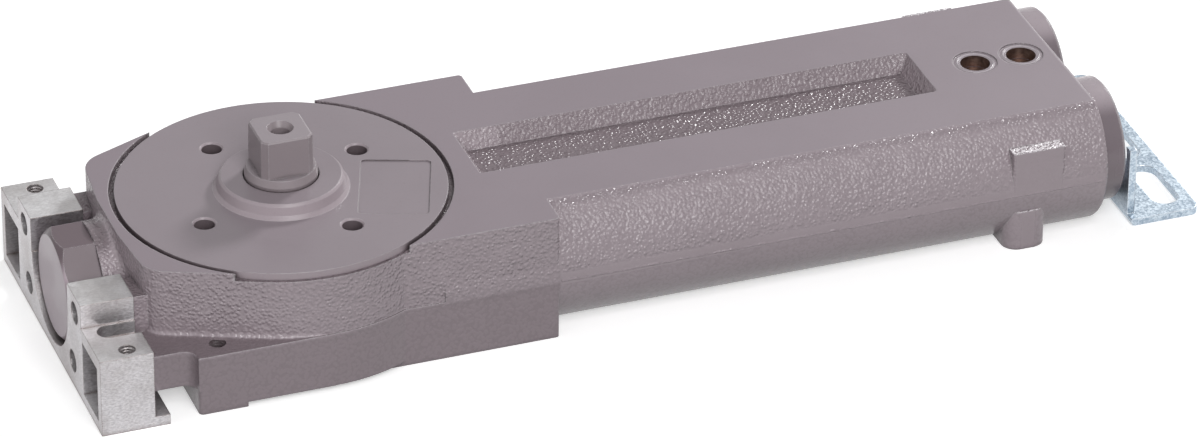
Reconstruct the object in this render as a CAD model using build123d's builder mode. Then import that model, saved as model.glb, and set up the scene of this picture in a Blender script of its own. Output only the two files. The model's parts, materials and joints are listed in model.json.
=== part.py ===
"""Concealed frame door closer: cast housing, heart-cam mechanism, twin closing springs, fixing brackets.

The spindle axis is Z and the housing stands on Z = 0. +X runs along the body to the spring plugs,
and +Y to the side away from the bare plate. The spindle turns a heart-shaped cam of constant breadth.
Two rollers, one each side of the cam, hang between two carriage plates, so one turn of the spindle
moves the carriage, the damping piston and both push rods by the same straight travel.
"""
from build123d import *
from math import acos, atan2, cos, degrees, pi, radians, sin, sqrt
import os

os.makedirs("parts", exist_ok=True)

# Shared fits, and how far a form starts inside the one that carries it
static_fit = 0.02
root_overlap = 2.0
near_enough = 0.1

# Housing, outside
housing_height = 34.6
parting_drop = 1.2
parting_step = 0.25
barrel_radius = 20.0
barrel_spread = 18.1
barrel_drop = 0.4
body_end_x = 209.8
body_end_fillet = 1.2
shoulder_x = 60.5
shoulder_half_width = 38.0
shoulder_corner_radius = 1.0
head_radius = 42.8
nose_reach = 2.5
nose_half_width = 9.0
nose_sweep = 1.7
nose_corner_y = 27.8
nose_corner_radius = 8.0
pin_pad_inner = 16.8
pin_pad_width = 9.4
pin_pad_top = 26.8
flange_setback = 11.7
flange_proud = 0.1
flange_corner_radius = 1.2
flange_relief = 1.3
foot_pad_length = 12.5
ledge_inset = 4.5
ledge_bottom = 6.5
ledge_corner_radius = 3.4
lug_pad_start_x = 183.0
lug_pad_length = 14.2
lug_half_width = 38.1
lug_pad_top = 28.8
lug_root_y = 27.0
lug_pad_radius = 0.6
foot_start_x = 182.2
foot_length = 11.4
foot_half_width = 37.6
foot_top = 11.0
foot_corner_radius = 4.0
label_start_x = 48.9
label_length = 124.1
label_width = 21.2
label_depth = 4.4
label_wall_slope = 32.0
label_corner_radius = 0.8
neck_radius = 14.6
neck_length = 5.0

# Mechanism line and chamber
mechanism_lift = 0.3
chamber_radius = 28.0
lower_hub_height = 2.7
chamber_ceiling_depth = 5.6
pocket_end_x = 37.0
pocket_half_width = 27.5
pocket_half_height = 8.8
running_gap = 0.3
running_fit = 0.05

# Cover disc and collar
cover_thread_radius = 34.9
cover_thread_fit = 0.1
cover_rim_radius = 41.8
cover_rim_thickness = 2.1
cover_groove_width = 1.4
cover_underside_gap = 0.2
cover_hub_radius = 15.5
pin_hole_radius = 2.6
pin_hole_ring_radius = 25.9
pin_hole_angle = 25.0
pin_hole_depth = 3.6
pin_hole_countersink = 0.45
plate_recess_radial = 17.7
plate_recess_tangential = 26.3
plate_recess_ring_radius = 28.35
plate_recess_angle = -20.0
plate_recess_depth = 0.35
plate_recess_corner = 1.3
collar_height = 3.7
collar_top_radius = 15.1
collar_edge_radius = 15.7
collar_base_radius = 16.3
collar_flare_radius = 17.2
collar_edge_height = 0.6
collar_flare_height = 0.9
collar_bore_radius = 9.6
cover_seal_width = 1.7
seal_squeeze = 0.05

# Spindle
lower_journal_radius = 7.0
cam_seat_radius = 7.8
upper_journal_radius = 9.0
shoulder_radius = 9.3
shoulder_start = 2.1
shoulder_end = 4.5
cone_end = 6.4
cone_top_radius = 8.7
square_width = 13.4
square_root_width = 13.6
square_corner = 1.5
square_top_chamfer = 0.35
spindle_reach = 16.9
spindle_thread_radius = 2.5
spindle_thread_depth = 14.0
spindle_mouth_radius = 3.35
spindle_mouth_angle = 60

# Bearings and spindle seal
lower_bearing_radius = 10.5
lower_bearing_bottom = 3.2
lower_hub_radius = 12.5
upper_bearing_radius = 12.4
upper_bearing_drop = 1.6
bearing_lead_chamfer = 0.5
spindle_seal_radius = 11.8
spindle_seal_drop = 1.1
spindle_seal_height = 2.7
seal_lip_flare = 0.9
seal_lip_width = 0.8

# Heart cam, rollers and key
cam_thickness = 8.0
notch_pitch_radius = 16.0
cam_rise_per_radian = 4.5
cam_gap = 0.15
opening_angle = 105.0
roller_radius = 6.0
roller_height = 7.8
roller_pin_radius = 2.6
cam_points = 22
key_width = 5.0
key_depth_in_spindle = 2.2
key_depth_in_cam = 2.0

# Carriage plates
plate_thickness = 3.0
plate_gap = 0.3
plate_half_width = 13.0
plate_nose_half_width = 6.7
plate_nose_reach = 4.26
plate_waist_x = -23.5
plate_slot_gap = 0.4
plate_wing_half_width = 25.0
plate_wing_start_x = 19.5
plate_wing_end_x = 27.5
plate_corner_radius = 1.5

# Push rods and spring seats
spring_spread = 19.2
spring_bore_radius = 14.6
spring_bore_start_x = 34.2
rod_head_width = 9.0
rod_head_gap = 0.1
rod_radius = 4.0
rod_spigot_radius = 3.0
rod_pin_radius = 2.1
seat_face_x = 36.0
seat_thickness = 3.0
seat_side_gap = 0.4
seat_hub_radius = 7.5
seat_hub_length = 5.0

# Closing springs and spring plugs
spring_wire_width = 3.8
spring_mean_radius = 10.9
spring_pitch = 16.0
spring_end_gap = 0.05
spring_plug_inner_x = 203.0
spring_plug_head_length = 6.1
spring_plug_head_radius = 16.1
spring_plug_chamfer = 0.8
spring_plug_fit = 0.1
spring_plug_spigot_length = 4.0
spanner_hole_radius = 1.8
spanner_hole_spread = 10.0
spanner_hole_depth = 3.5
plug_seal_width = 1.7
plug_seal_x = 205.5

# Damping piston and check valve
piston_bore_radius = 10.2
piston_roller_gap = 0.96
piston_end_gap = 0.8
piston_crown_thickness = 7.6
piston_arm_setback = 4.54
piston_chamfer = 0.6
check_passage_radius = 1.3
check_ball_radius = 1.9
check_pocket_depth = 6.0
check_retainer_thickness = 1.0
check_retainer_bore = 0.6

# End plug
end_plug_head_length = 9.5
end_plug_flat = 13.6
end_plug_face_radius = 13.0
end_plug_face_slope = 48.1
end_plug_sides = 8
end_plug_shank_radius = 12.0
end_plug_shank_length = 4.8
end_plug_seal_width = 1.6

# Valve screws
closing_valve_x = 187.9
latching_valve_x = 200.7
valve_bore_radius = 3.9
valve_bore_depth = 15.0
valve_rim_radius = 5.8
valve_rim_depth = 0.3
valve_screw_length = 8.6
valve_screw_lift = 0.3
valve_hex_flats = 3.0
valve_hex_depth = 3.0
valve_seal_width = 1.2
valve_seal_depth = 10.1
valve_needle_radius = 1.2
valve_needle_length = 2.6

# End bracket, aluminium
bracket_gap = 1.7
bracket_depth = 13.7
bracket_foot_reach = 3.8
bracket_foot_thickness = 2.8
bracket_proud = 1.2
bracket_post_height = 21.4
bracket_block_inner = 16.2
bracket_block_outer = 27.7
bracket_block_height = 27.9
bracket_saddle_radius = 15.8
bracket_saddle_lift = 0.8
bracket_window_inner = 28.5
bracket_outer_wall = 2.8
bracket_window_bottom = 2.9
bracket_window_top = 17.9
bracket_slot_inner = 28.2
bracket_slot_outer = 34.0
bracket_slot_end = 3.3
fixing_thread_radius = 2.1
bracket_thread_setback = 5.7
bracket_thread_inset = 3.6
bracket_upper_hole_y = 22.4
bracket_upper_hole_z = 22.9
bracket_lower_hole_y = 19.5
bracket_lower_hole_z = 7.3
bracket_hole_radius = 2.95
bracket_pin_front = 5.0
bracket_pin_length = 13.0
bracket_pin_bore_radius = 1.6
bracket_pin_slit = 0.8
flange_thread_setback = 6.6
flange_thread_inset = 5.6
flange_thread_depth = 10.0

# Slotted bracket, zinc-plated steel
sheet_thickness = 2.0
sheet_bend_radius = 1.2
slotted_gap = 1.6
slotted_plate_length = 19.3
slotted_half_width = 36.6
slotted_wall_half_width = 33.6
slotted_wall_height = 20.7
slotted_wall_cutout_radius = 12.2
slotted_wall_dip = 4.05
slotted_plate_corner = 2.5
slot_width = 7.4
slot_setback = 6.7
side_slot_inner = 12.1
side_slot_outer = 32.2
middle_slot_length = 15.8
anchor_boss_radius = 5.1
anchor_boss_drop = 10.2
anchor_screw_radius = 2.45
anchor_thread_radius = 2.5
anchor_screw_depth = 11.0
anchor_thread_spare = 1.0
anchor_edge_radius = 0.6
anchor_head_radius = 4.4
anchor_head_height = 2.6
anchor_hex_flats = 3.0
anchor_hex_depth = 1.8

# Worked out from the driving dimensions
mechanism_height = housing_height / 2 + mechanism_lift
parting_height = mechanism_height - parting_drop
barrel_height = mechanism_height - barrel_drop
nose_x = -head_radius - nose_reach
nose_corner_x = nose_x + nose_sweep
bracket_back_x = nose_x - bracket_gap
bracket_front_x = bracket_back_x - bracket_depth
bracket_foot_x = bracket_back_x + bracket_foot_reach
bracket_slot_end_x = bracket_front_x + bracket_slot_end
bracket_thread_x = bracket_back_x - bracket_thread_setback
bracket_pin_front_x = bracket_back_x - bracket_pin_front
bracket_pin_back_x = bracket_pin_front_x + bracket_pin_length
flange_corner_x = bracket_back_x + flange_setback
flange_half_width = head_radius + flange_proud
ledge_half_width = flange_half_width - ledge_inset
flange_thread_x = flange_corner_x + flange_thread_setback
flange_thread_y = flange_half_width - flange_thread_inset
bracket_half_width = flange_half_width + bracket_proud
bracket_window_outer = bracket_half_width - bracket_outer_wall
bracket_thread_y = bracket_half_width - bracket_thread_inset
bracket_saddle_height = mechanism_height + bracket_saddle_lift
tip_pitch_radius = notch_pitch_radius + cam_rise_per_radian * pi
plate_nose_end_x = -tip_pitch_radius - plate_nose_reach
piston_arm_end_x = -tip_pitch_radius + piston_arm_setback
piston_back_x = -tip_pitch_radius - roller_radius - piston_roller_gap
piston_crown_x = piston_back_x - piston_crown_thickness
neck_end_x = min(nose_x - neck_length, piston_crown_x - piston_end_gap - end_plug_shank_length)
end_plug_front_x = neck_end_x - end_plug_head_length
spring_plug_outer_x = body_end_x + spring_plug_head_length
slotted_near_x = spring_plug_outer_x + slotted_gap
slotted_far_x = slotted_near_x + slotted_plate_length
slot_centre_x = slotted_far_x - slot_setback
anchor_boss_height = mechanism_height - anchor_boss_drop
travel = cam_rise_per_radian * radians(opening_angle)
cover_seat_height = housing_height - cover_rim_thickness
cover_counterbore_radius = cover_rim_radius + cover_groove_width
cover_thread_bore = cover_thread_radius + cover_thread_fit
plate_inner = cam_thickness / 2 + plate_gap
plate_outer = plate_inner + plate_thickness
hub_top = mechanism_height - plate_outer - running_gap
chamber_floor = hub_top - lower_hub_height
chamber_top = housing_height - chamber_ceiling_depth
lower_journal_bottom = lower_bearing_bottom + running_gap
upper_bearing_top = housing_height - upper_bearing_drop
spindle_seal_bottom = housing_height - spindle_seal_drop
spindle_seal_top = spindle_seal_bottom + spindle_seal_height
piston_radius = piston_bore_radius - running_fit
collar_top = housing_height + collar_height
shoulder_bottom = housing_height + shoulder_start
shoulder_top = housing_height + shoulder_end
cone_top = housing_height + cone_end
spindle_top = housing_height + spindle_reach
side_signs = {"near": -1, "far": 1}

along_body = Plane.YZ
base = Plane.XY


def across(x):
    """Plane square to the body at this X, with Y to its right and Z up."""
    return along_body.offset(x)


def level(z):
    """Level plane at this height."""
    return base.offset(z)


def tangent_point(x, y, radius):
    """Where the line from this point touches the circle about the spindle, on the spindle's side of it."""
    turn = atan2(y, x) - acos(radius / sqrt(x**2 + y**2))
    return (radius * cos(turn), radius * sin(turn))


def cam_edge_point(angle):
    """Point of the cam edge that bears on a roller standing at this angle of the rising spiral."""
    reach = notch_pitch_radius + cam_rise_per_radian * angle
    normal = angle - atan2(cam_rise_per_radian, reach)
    offset_in = roller_radius + cam_gap
    return (reach * cos(angle) - offset_in * cos(normal), reach * sin(angle) - offset_in * sin(normal))


def cam_tip_angle():
    """Angle at which the rising edge comes down to the line of symmetry, found by halving."""
    low, high = pi / 2, pi
    for _ in range(40):
        middle = (low + high) / 2
        if cam_edge_point(middle)[1] > 0:
            low = middle
        else:
            high = middle
    return (low + high) / 2


# Housing: one casting with its machined bores
with BuildPart() as housing:
    with BuildSketch(across(shoulder_x / 2)):
        with Locations((-barrel_spread, barrel_height), (barrel_spread, barrel_height)):
            Circle(barrel_radius)
        with Locations((0, housing_height / 2)):
            Rectangle(2 * barrel_spread, housing_height)
            Rectangle(4 * barrel_radius, housing_height, mode=Mode.INTERSECT)
    extrude(amount=body_end_x - shoulder_x / 2)
    end_face = housing.faces().sort_by(Axis.X)[-1]
    fillet(end_face.edges(), body_end_fillet)

    # Pads on the flanks and feet under them, at the widest line of the barrels
    for side in side_signs.values():
        with BuildSketch(level(parting_height)):
            pad_depth = lug_half_width - lug_root_y
            with Locations((lug_pad_start_x + lug_pad_length / 2, side * (lug_root_y + pad_depth / 2))):
                Rectangle(lug_pad_length, pad_depth)
            fillet([v for v in vertices() if abs(v.Y) > lug_half_width - near_enough], lug_pad_radius)
        extrude(amount=lug_pad_top - parting_height)
        with BuildSketch(base):
            foot_depth = foot_half_width - lug_root_y
            with Locations((foot_start_x + foot_length / 2, side * (lug_root_y + foot_depth / 2))):
                Rectangle(foot_length, foot_depth)
            fillet([v for v in vertices() if abs(v.Y) > foot_half_width - near_enough], foot_corner_radius)
        extrude(amount=foot_top)

    # Head above the parting line: round chamber wall, flat shoulders and the nose behind the bracket
    with BuildSketch(level(parting_height)):
        wall_radius = head_radius - parting_step
        Circle(wall_radius)
        heel_x, heel_y = tangent_point(nose_corner_x, nose_corner_y, wall_radius)
        with BuildLine():
            Polyline(
                (nose_x, -nose_half_width),
                (nose_x, nose_half_width),
                (nose_corner_x, nose_corner_y),
                (heel_x, heel_y),
                (0, 0),
                (heel_x, -heel_y),
                (nose_corner_x, -nose_corner_y),
                close=True,
            )
        make_face()
        fillet([v for v in vertices() if abs(v.X - nose_corner_x) < near_enough], nose_corner_radius)
        with Locations((shoulder_x / 2, 0)):
            Rectangle(shoulder_x, 2 * (shoulder_half_width - parting_step))
        fillet(vertices().group_by(Axis.X)[-1], shoulder_corner_radius)
    extrude(amount=housing_height - parting_height)

    # Head below the parting line, with the fixing flange beside it
    with BuildSketch(base):
        Circle(head_radius)
        with Locations((flange_corner_x / 2, 0)):
            Rectangle(-flange_corner_x, 2 * flange_half_width)
        fillet(vertices().group_by(Axis.X)[0], flange_corner_radius)
        with Locations((shoulder_x / 2, 0)):
            Rectangle(shoulder_x, 2 * shoulder_half_width)
        fillet(vertices().group_by(Axis.X)[-1], shoulder_corner_radius)
    extrude(amount=parting_height)
    with BuildSketch(level(ledge_bottom)):
        with Locations((bracket_back_x / 2, 0)):
            Rectangle(-bracket_back_x, 2 * ledge_half_width)
        with Locations((flange_corner_x / 2, 0)):
            Rectangle(-flange_corner_x, 2 * flange_half_width)
        steps = [v for v in vertices() if abs(v.X - flange_corner_x) < near_enough]
        fillet([v for v in steps if abs(v.Y) < flange_half_width - near_enough], ledge_corner_radius)
        fillet([v for v in steps if abs(v.Y) > flange_half_width - near_enough], flange_corner_radius)
    extrude(amount=parting_height - ledge_bottom)

    # Pads on the nose that back the end bracket round its pins
    with BuildSketch(level(ledge_bottom)):
        pin_pad_length = nose_corner_radius - bracket_back_x + nose_x
        for side in side_signs.values():
            pad_middle = pin_pad_inner + pin_pad_width / 2
            with Locations((bracket_back_x, side * pad_middle)):
                Rectangle(pin_pad_length, pin_pad_width, align=(Align.MIN, Align.CENTER))
    extrude(amount=pin_pad_top - ledge_bottom)

    # Underside of the flange is relieved, so that it bears on its pads
    relief_start_x = flange_corner_x + foot_pad_length
    with BuildSketch(base):
        for side in side_signs.values():
            with Locations((relief_start_x, side * shoulder_half_width)):
                relief_align = (Align.MIN, Align.MIN if side > 0 else Align.MAX)
                Rectangle(-relief_start_x + head_radius, head_radius, align=relief_align)
    extrude(amount=flange_relief, mode=Mode.SUBTRACT)

    # Neck that the end plug screws into, and the anchor boss between the spring plugs
    with BuildSketch(across(neck_end_x)):
        with Locations((0, mechanism_height)):
            Circle(neck_radius)
    extrude(amount=nose_x - neck_end_x + neck_length)
    with BuildSketch(across(body_end_x - root_overlap)):
        with Locations((0, anchor_boss_height)):
            Circle(anchor_boss_radius)
    extrude(amount=slotted_near_x - body_end_x + root_overlap)

    # Counterbore for the cover rim, threaded seat, chamber and the pocket for the carriage wings
    with BuildSketch(level(cover_seat_height)):
        Circle(cover_counterbore_radius)
    extrude(amount=cover_rim_thickness, mode=Mode.SUBTRACT)
    with BuildSketch(level(chamber_top)):
        Circle(cover_thread_bore)
    extrude(amount=cover_seat_height - chamber_top, mode=Mode.SUBTRACT)
    with BuildSketch(level(chamber_floor)):
        Circle(chamber_radius)
        Circle(lower_hub_radius, mode=Mode.SUBTRACT)
    extrude(amount=chamber_top - chamber_floor, mode=Mode.SUBTRACT)
    with BuildSketch(level(hub_top)):
        Circle(lower_hub_radius)
    extrude(amount=chamber_top - hub_top, mode=Mode.SUBTRACT)
    with BuildSketch(level(mechanism_height - pocket_half_height)):
        with Locations((pocket_end_x, 0)):
            pocket_length = pocket_end_x - lower_hub_radius
            Rectangle(pocket_length, 2 * pocket_half_width, align=(Align.MAX, Align.CENTER))
    extrude(amount=2 * pocket_half_height, mode=Mode.SUBTRACT)
    with BuildSketch(level(lower_bearing_bottom)):
        Circle(lower_bearing_radius)
    extrude(amount=hub_top - lower_bearing_bottom, mode=Mode.SUBTRACT)

    # Spring bores from the right end, damping bore from the left end
    with BuildSketch(across(spring_bore_start_x)):
        with Locations((-spring_spread, mechanism_height), (spring_spread, mechanism_height)):
            Circle(spring_bore_radius)
    extrude(amount=body_end_x - spring_bore_start_x, mode=Mode.SUBTRACT)
    with BuildSketch(across(neck_end_x)):
        with Locations((0, mechanism_height)):
            Circle(piston_bore_radius)
    extrude(amount=-neck_end_x - lower_hub_radius, mode=Mode.SUBTRACT)
    with BuildSketch(across(neck_end_x)):
        with Locations((0, mechanism_height)):
            Circle(end_plug_shank_radius + static_fit)
    extrude(amount=end_plug_shank_length, mode=Mode.SUBTRACT)

    # Label recess with sloping cast walls, left bare
    with BuildSketch(level(housing_height)):
        with Locations((label_start_x + label_length / 2, 0)):
            RectangleRounded(label_length, label_width, label_corner_radius)
    extrude(amount=-label_depth, taper=label_wall_slope, mode=Mode.SUBTRACT)

    # Valve bores with their shallow rims
    for valve_x in (closing_valve_x, latching_valve_x):
        with Locations((valve_x, 0, housing_height)):
            CounterBoreHole(valve_bore_radius, valve_rim_radius, valve_rim_depth, valve_bore_depth)

    # Tapped holes in the flange, pin holes behind the bracket, tapped hole in the anchor boss
    with Locations([(flange_thread_x, s * flange_thread_y, parting_height) for s in side_signs.values()]):
        Hole(fixing_thread_radius, flange_thread_depth)
    pin_places = [
        (s * y, z)
        for s in side_signs.values()
        for y, z in (
            (bracket_upper_hole_y, bracket_upper_hole_z),
            (bracket_lower_hole_y, bracket_lower_hole_z),
        )
    ]
    with BuildSketch(across(bracket_back_x)):
        with Locations(*pin_places):
            Circle(bracket_hole_radius + static_fit)
    extrude(amount=bracket_pin_back_x - bracket_back_x, mode=Mode.SUBTRACT)
    with BuildSketch(across(slotted_near_x)):
        with Locations((0, anchor_boss_height)):
            Circle(anchor_thread_radius)
    extrude(amount=-anchor_screw_depth - anchor_thread_spare, mode=Mode.SUBTRACT)
housing.part.label = "housing"
export_step(housing.part, "parts/housing.step")

# Cover disc: rim, threaded boss, bearing hub and collar turned in one piece
cover_underside = chamber_top + cover_underside_gap
cover_hub_bottom = mechanism_height + plate_outer + running_gap
with BuildPart() as cover_disc:
    with BuildSketch(Plane.XZ):
        with BuildLine():
            Polyline(
                (upper_bearing_radius, cover_hub_bottom),
                (cover_hub_radius, cover_hub_bottom),
                (cover_hub_radius, cover_underside),
                (cover_thread_radius, cover_underside),
                (cover_thread_radius, cover_seat_height),
                (cover_rim_radius, cover_seat_height),
                (cover_rim_radius, housing_height),
                (collar_flare_radius, housing_height),
                (collar_base_radius, housing_height + collar_flare_height),
                (collar_edge_radius, collar_top - collar_edge_height),
                (collar_top_radius, collar_top),
                (collar_bore_radius, collar_top),
                (collar_bore_radius, spindle_seal_top),
                (spindle_seal_radius, spindle_seal_top),
                (spindle_seal_radius, spindle_seal_bottom),
                (collar_bore_radius, spindle_seal_bottom),
                (collar_bore_radius, upper_bearing_top),
                (upper_bearing_radius, upper_bearing_top),
                close=True,
            )
        make_face()
    revolve(axis=Axis.Z)
    # Groove for the cover seal
    cover_seal_bottom = (cover_underside + cover_seat_height - cover_seal_width) / 2
    cover_seal_inner = cover_thread_radius - cover_seal_width
    with BuildSketch(level(cover_seal_bottom - seal_squeeze)):
        Circle(cover_thread_radius + seal_squeeze)
        Circle(cover_seal_inner - seal_squeeze, mode=Mode.SUBTRACT)
    extrude(amount=cover_seal_width + 2 * seal_squeeze, mode=Mode.SUBTRACT)
    with BuildSketch(level(housing_height)):
        with PolarLocations(pin_hole_ring_radius, 4, pin_hole_angle):
            Circle(pin_hole_radius)
    extrude(amount=-pin_hole_depth, mode=Mode.SUBTRACT)
    top_face_edges = cover_disc.faces().filter_by(Plane.XY).filter_by_position(
        Axis.Z, housing_height - near_enough, housing_height + near_enough
    ).edges()
    rim_edges = top_face_edges.filter_by(lambda e: abs(e.radius - pin_hole_radius) < near_enough)
    chamfer(rim_edges, pin_hole_countersink)
    # Shallow plate recess, left bare
    recess_plane = Plane(
        origin=(
            plate_recess_ring_radius * cos(radians(plate_recess_angle)),
            plate_recess_ring_radius * sin(radians(plate_recess_angle)),
            housing_height,
        ),
        x_dir=(cos(radians(plate_recess_angle)), sin(radians(plate_recess_angle)), 0),
        z_dir=(0, 0, 1),
    )
    with BuildSketch(recess_plane):
        RectangleRounded(plate_recess_radial, plate_recess_tangential, plate_recess_corner)
    extrude(amount=-plate_recess_depth, mode=Mode.SUBTRACT)
cover_disc.part.label = "cover_disc"
export_step(cover_disc.part, "parts/cover_disc.step")

with BuildPart() as cover_seal:
    with BuildSketch(level(cover_seal_bottom)):
        Circle(cover_thread_radius)
        Circle(cover_seal_inner, mode=Mode.SUBTRACT)
    extrude(amount=cover_seal_width)
cover_seal.part.label = "cover_seal"
export_step(cover_seal.part, "parts/cover_seal.step")

# Spindle: stepped shaft below, tapered square with chamfered corners above
with BuildPart() as spindle:
    cam_bottom = mechanism_height - cam_thickness / 2
    cam_top = mechanism_height + cam_thickness / 2
    with BuildSketch(Plane.XZ):
        with BuildLine():
            Polyline(
                (0, lower_journal_bottom),
                (lower_journal_radius, lower_journal_bottom),
                (lower_journal_radius, hub_top),
                (cam_seat_radius, hub_top),
                (cam_seat_radius, cam_top),
                (upper_journal_radius, cam_top),
                (upper_journal_radius, shoulder_bottom),
                (shoulder_radius, shoulder_bottom),
                (shoulder_radius, shoulder_top),
                (cone_top_radius, cone_top),
                (0, cone_top),
                close=True,
            )
        make_face()
    revolve(axis=Axis.Z)
    with BuildSketch(level(cone_top)):
        Rectangle(square_root_width, square_root_width)
        chamfer(vertices(), square_corner)
    with BuildSketch(level(spindle_top)):
        Rectangle(square_width, square_width)
        chamfer(vertices(), square_corner)
    loft()
    chamfer(spindle.faces().sort_by(Axis.Z)[-1].edges(), square_top_chamfer)
    with Locations((0, 0, spindle_top)):
        CounterSinkHole(
            spindle_thread_radius, spindle_mouth_radius, spindle_thread_depth, spindle_mouth_angle
        )
    # Keyway for the cam, on the side of the cam tip
    with BuildSketch(level(cam_bottom)):
        with Locations((-cam_seat_radius + key_depth_in_spindle, 0)):
            Rectangle(2 * key_depth_in_spindle, key_width, align=(Align.MAX, Align.CENTER))
    extrude(amount=cam_thickness, mode=Mode.SUBTRACT)
spindle.part.label = "spindle"
export_step(spindle.part, "parts/spindle.step")

with BuildPart() as cam_key:
    with BuildSketch(level(cam_bottom)):
        with Locations((-cam_seat_radius + key_depth_in_spindle, 0)):
            key_depth = key_depth_in_spindle + key_depth_in_cam
            Rectangle(key_depth, key_width, align=(Align.MAX, Align.CENTER))
    extrude(amount=cam_thickness)
cam_key.part.label = "cam_key"
export_step(cam_key.part, "parts/cam_key.step")

# Heart cam: both flanks are spirals set in by the roller, the notch is an arc of the roller's size
with BuildPart() as drive_cam:
    tip_angle = cam_tip_angle()
    rising = [cam_edge_point(tip_angle * i / (cam_points - 1)) for i in range(cam_points)]
    falling = [(x, -y) for x, y in rising]
    with BuildSketch(level(cam_bottom)):
        with BuildLine():
            Spline(*rising)
            Spline(*falling)
            ThreePointArc(rising[0], (notch_pitch_radius - roller_radius - cam_gap, 0), falling[0])
        make_face()
        Circle(cam_seat_radius + static_fit, mode=Mode.SUBTRACT)
        with Locations((-cam_seat_radius + key_depth_in_spindle, 0)):
            slot_depth = key_depth + static_fit
            slot_across = key_width + 2 * static_fit
            Rectangle(slot_depth, slot_across, align=(Align.MAX, Align.CENTER), mode=Mode.SUBTRACT)
    extrude(amount=cam_thickness)
drive_cam.part.label = "drive_cam"
export_step(drive_cam.part, "parts/drive_cam.step")

# Bearing bushes: steel-backed sleeves with a lead chamfer
with BuildPart() as lower_bearing:
    with BuildSketch(level(lower_bearing_bottom)):
        Circle(lower_bearing_radius)
        Circle(lower_journal_radius + running_fit, mode=Mode.SUBTRACT)
    extrude(amount=hub_top - lower_bearing_bottom)
    chamfer(lower_bearing.edges().filter_by(GeomType.CIRCLE).group_by(Axis.Z)[-1], bearing_lead_chamfer)
lower_bearing.part.label = "lower_bearing"
export_step(lower_bearing.part, "parts/lower_bearing.step")

with BuildPart() as upper_bearing:
    with BuildSketch(level(cover_hub_bottom)):
        Circle(upper_bearing_radius)
        Circle(upper_journal_radius + running_fit, mode=Mode.SUBTRACT)
    extrude(amount=upper_bearing_top - cover_hub_bottom)
    chamfer(upper_bearing.edges().filter_by(GeomType.CIRCLE).group_by(Axis.Z)[0], bearing_lead_chamfer)
upper_bearing.part.label = "upper_bearing"
export_step(upper_bearing.part, "parts/upper_bearing.step")

with BuildPart() as spindle_seal:
    with BuildSketch(Plane.XZ):
        with BuildLine():
            seal_middle = (spindle_seal_bottom + spindle_seal_top) / 2
            lip = upper_journal_radius + running_fit
            Polyline(
                (spindle_seal_radius, spindle_seal_bottom),
                (spindle_seal_radius, spindle_seal_top),
                (lip + seal_lip_flare, spindle_seal_top),
                (lip, seal_middle + seal_lip_width / 2),
                (lip, seal_middle - seal_lip_width / 2),
                (lip + seal_lip_flare, spindle_seal_bottom),
                close=True,
            )
        make_face()
    revolve(axis=Axis.Z)
spindle_seal.part.label = "spindle_seal"
export_step(spindle_seal.part, "parts/spindle_seal.step")

# Carriage plates: one above and one below the cam, alike
plate_bottoms = {
    "carriage_plate_lower": mechanism_height - plate_outer,
    "carriage_plate_upper": mechanism_height + plate_inner,
}
slot_half_width = upper_journal_radius + plate_slot_gap
for plate_name, plate_bottom in plate_bottoms.items():
    with BuildPart() as carriage_plate:
        with BuildSketch(level(plate_bottom)):
            with Locations(((plate_nose_end_x + plate_waist_x) / 2, 0)):
                Rectangle(plate_waist_x - plate_nose_end_x + root_overlap, 2 * plate_nose_half_width)
            with Locations(((plate_waist_x + plate_wing_end_x) / 2, 0)):
                Rectangle(plate_wing_end_x - plate_waist_x, 2 * plate_half_width)
            with Locations(((plate_wing_start_x + plate_wing_end_x) / 2, 0)):
                Rectangle(plate_wing_end_x - plate_wing_start_x, 2 * plate_wing_half_width)
            fillet(vertices().group_by(Axis.X)[0], plate_corner_radius)
            fillet(vertices().group_by(Axis.X)[-1], plate_corner_radius)
            with Locations((-travel / 2, 0)):
                SlotCenterToCenter(travel, 2 * slot_half_width, mode=Mode.SUBTRACT)
            with Locations((notch_pitch_radius, 0), (-tip_pitch_radius, 0)):
                Circle(roller_pin_radius + static_fit, mode=Mode.SUBTRACT)
            rod_pin_x = (plate_wing_start_x + plate_wing_end_x) / 2
            with Locations((rod_pin_x, -spring_spread), (rod_pin_x, spring_spread)):
                Circle(rod_pin_radius + static_fit, mode=Mode.SUBTRACT)
        extrude(amount=plate_thickness)
    carriage_plate.part.label = plate_name
    export_step(carriage_plate.part, f"parts/{plate_name}.step")

# Rollers and their pins
roller_places = {"drive_roller": notch_pitch_radius, "piston_roller": -tip_pitch_radius}
pin_half_lengths = {
    "drive_roller": plate_outer,
    "piston_roller": sqrt(piston_radius**2 - roller_pin_radius**2),
}
for roller_name, roller_x in roller_places.items():
    with BuildPart() as roller:
        with BuildSketch(level(mechanism_height - roller_height / 2)):
            with Locations((roller_x, 0)):
                Circle(roller_radius)
                Circle(roller_pin_radius + running_fit, mode=Mode.SUBTRACT)
        extrude(amount=roller_height)
    roller.part.label = roller_name
    export_step(roller.part, f"parts/{roller_name}.step")
    with BuildPart() as roller_pin:
        half_length = pin_half_lengths[roller_name]
        with BuildSketch(level(mechanism_height - half_length)):
            with Locations((roller_x, 0)):
                Circle(roller_pin_radius)
        extrude(amount=2 * half_length)
    roller_pin.part.label = f"{roller_name}_pin"
    export_step(roller_pin.part, f"parts/{roller_name}_pin.step")

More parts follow.
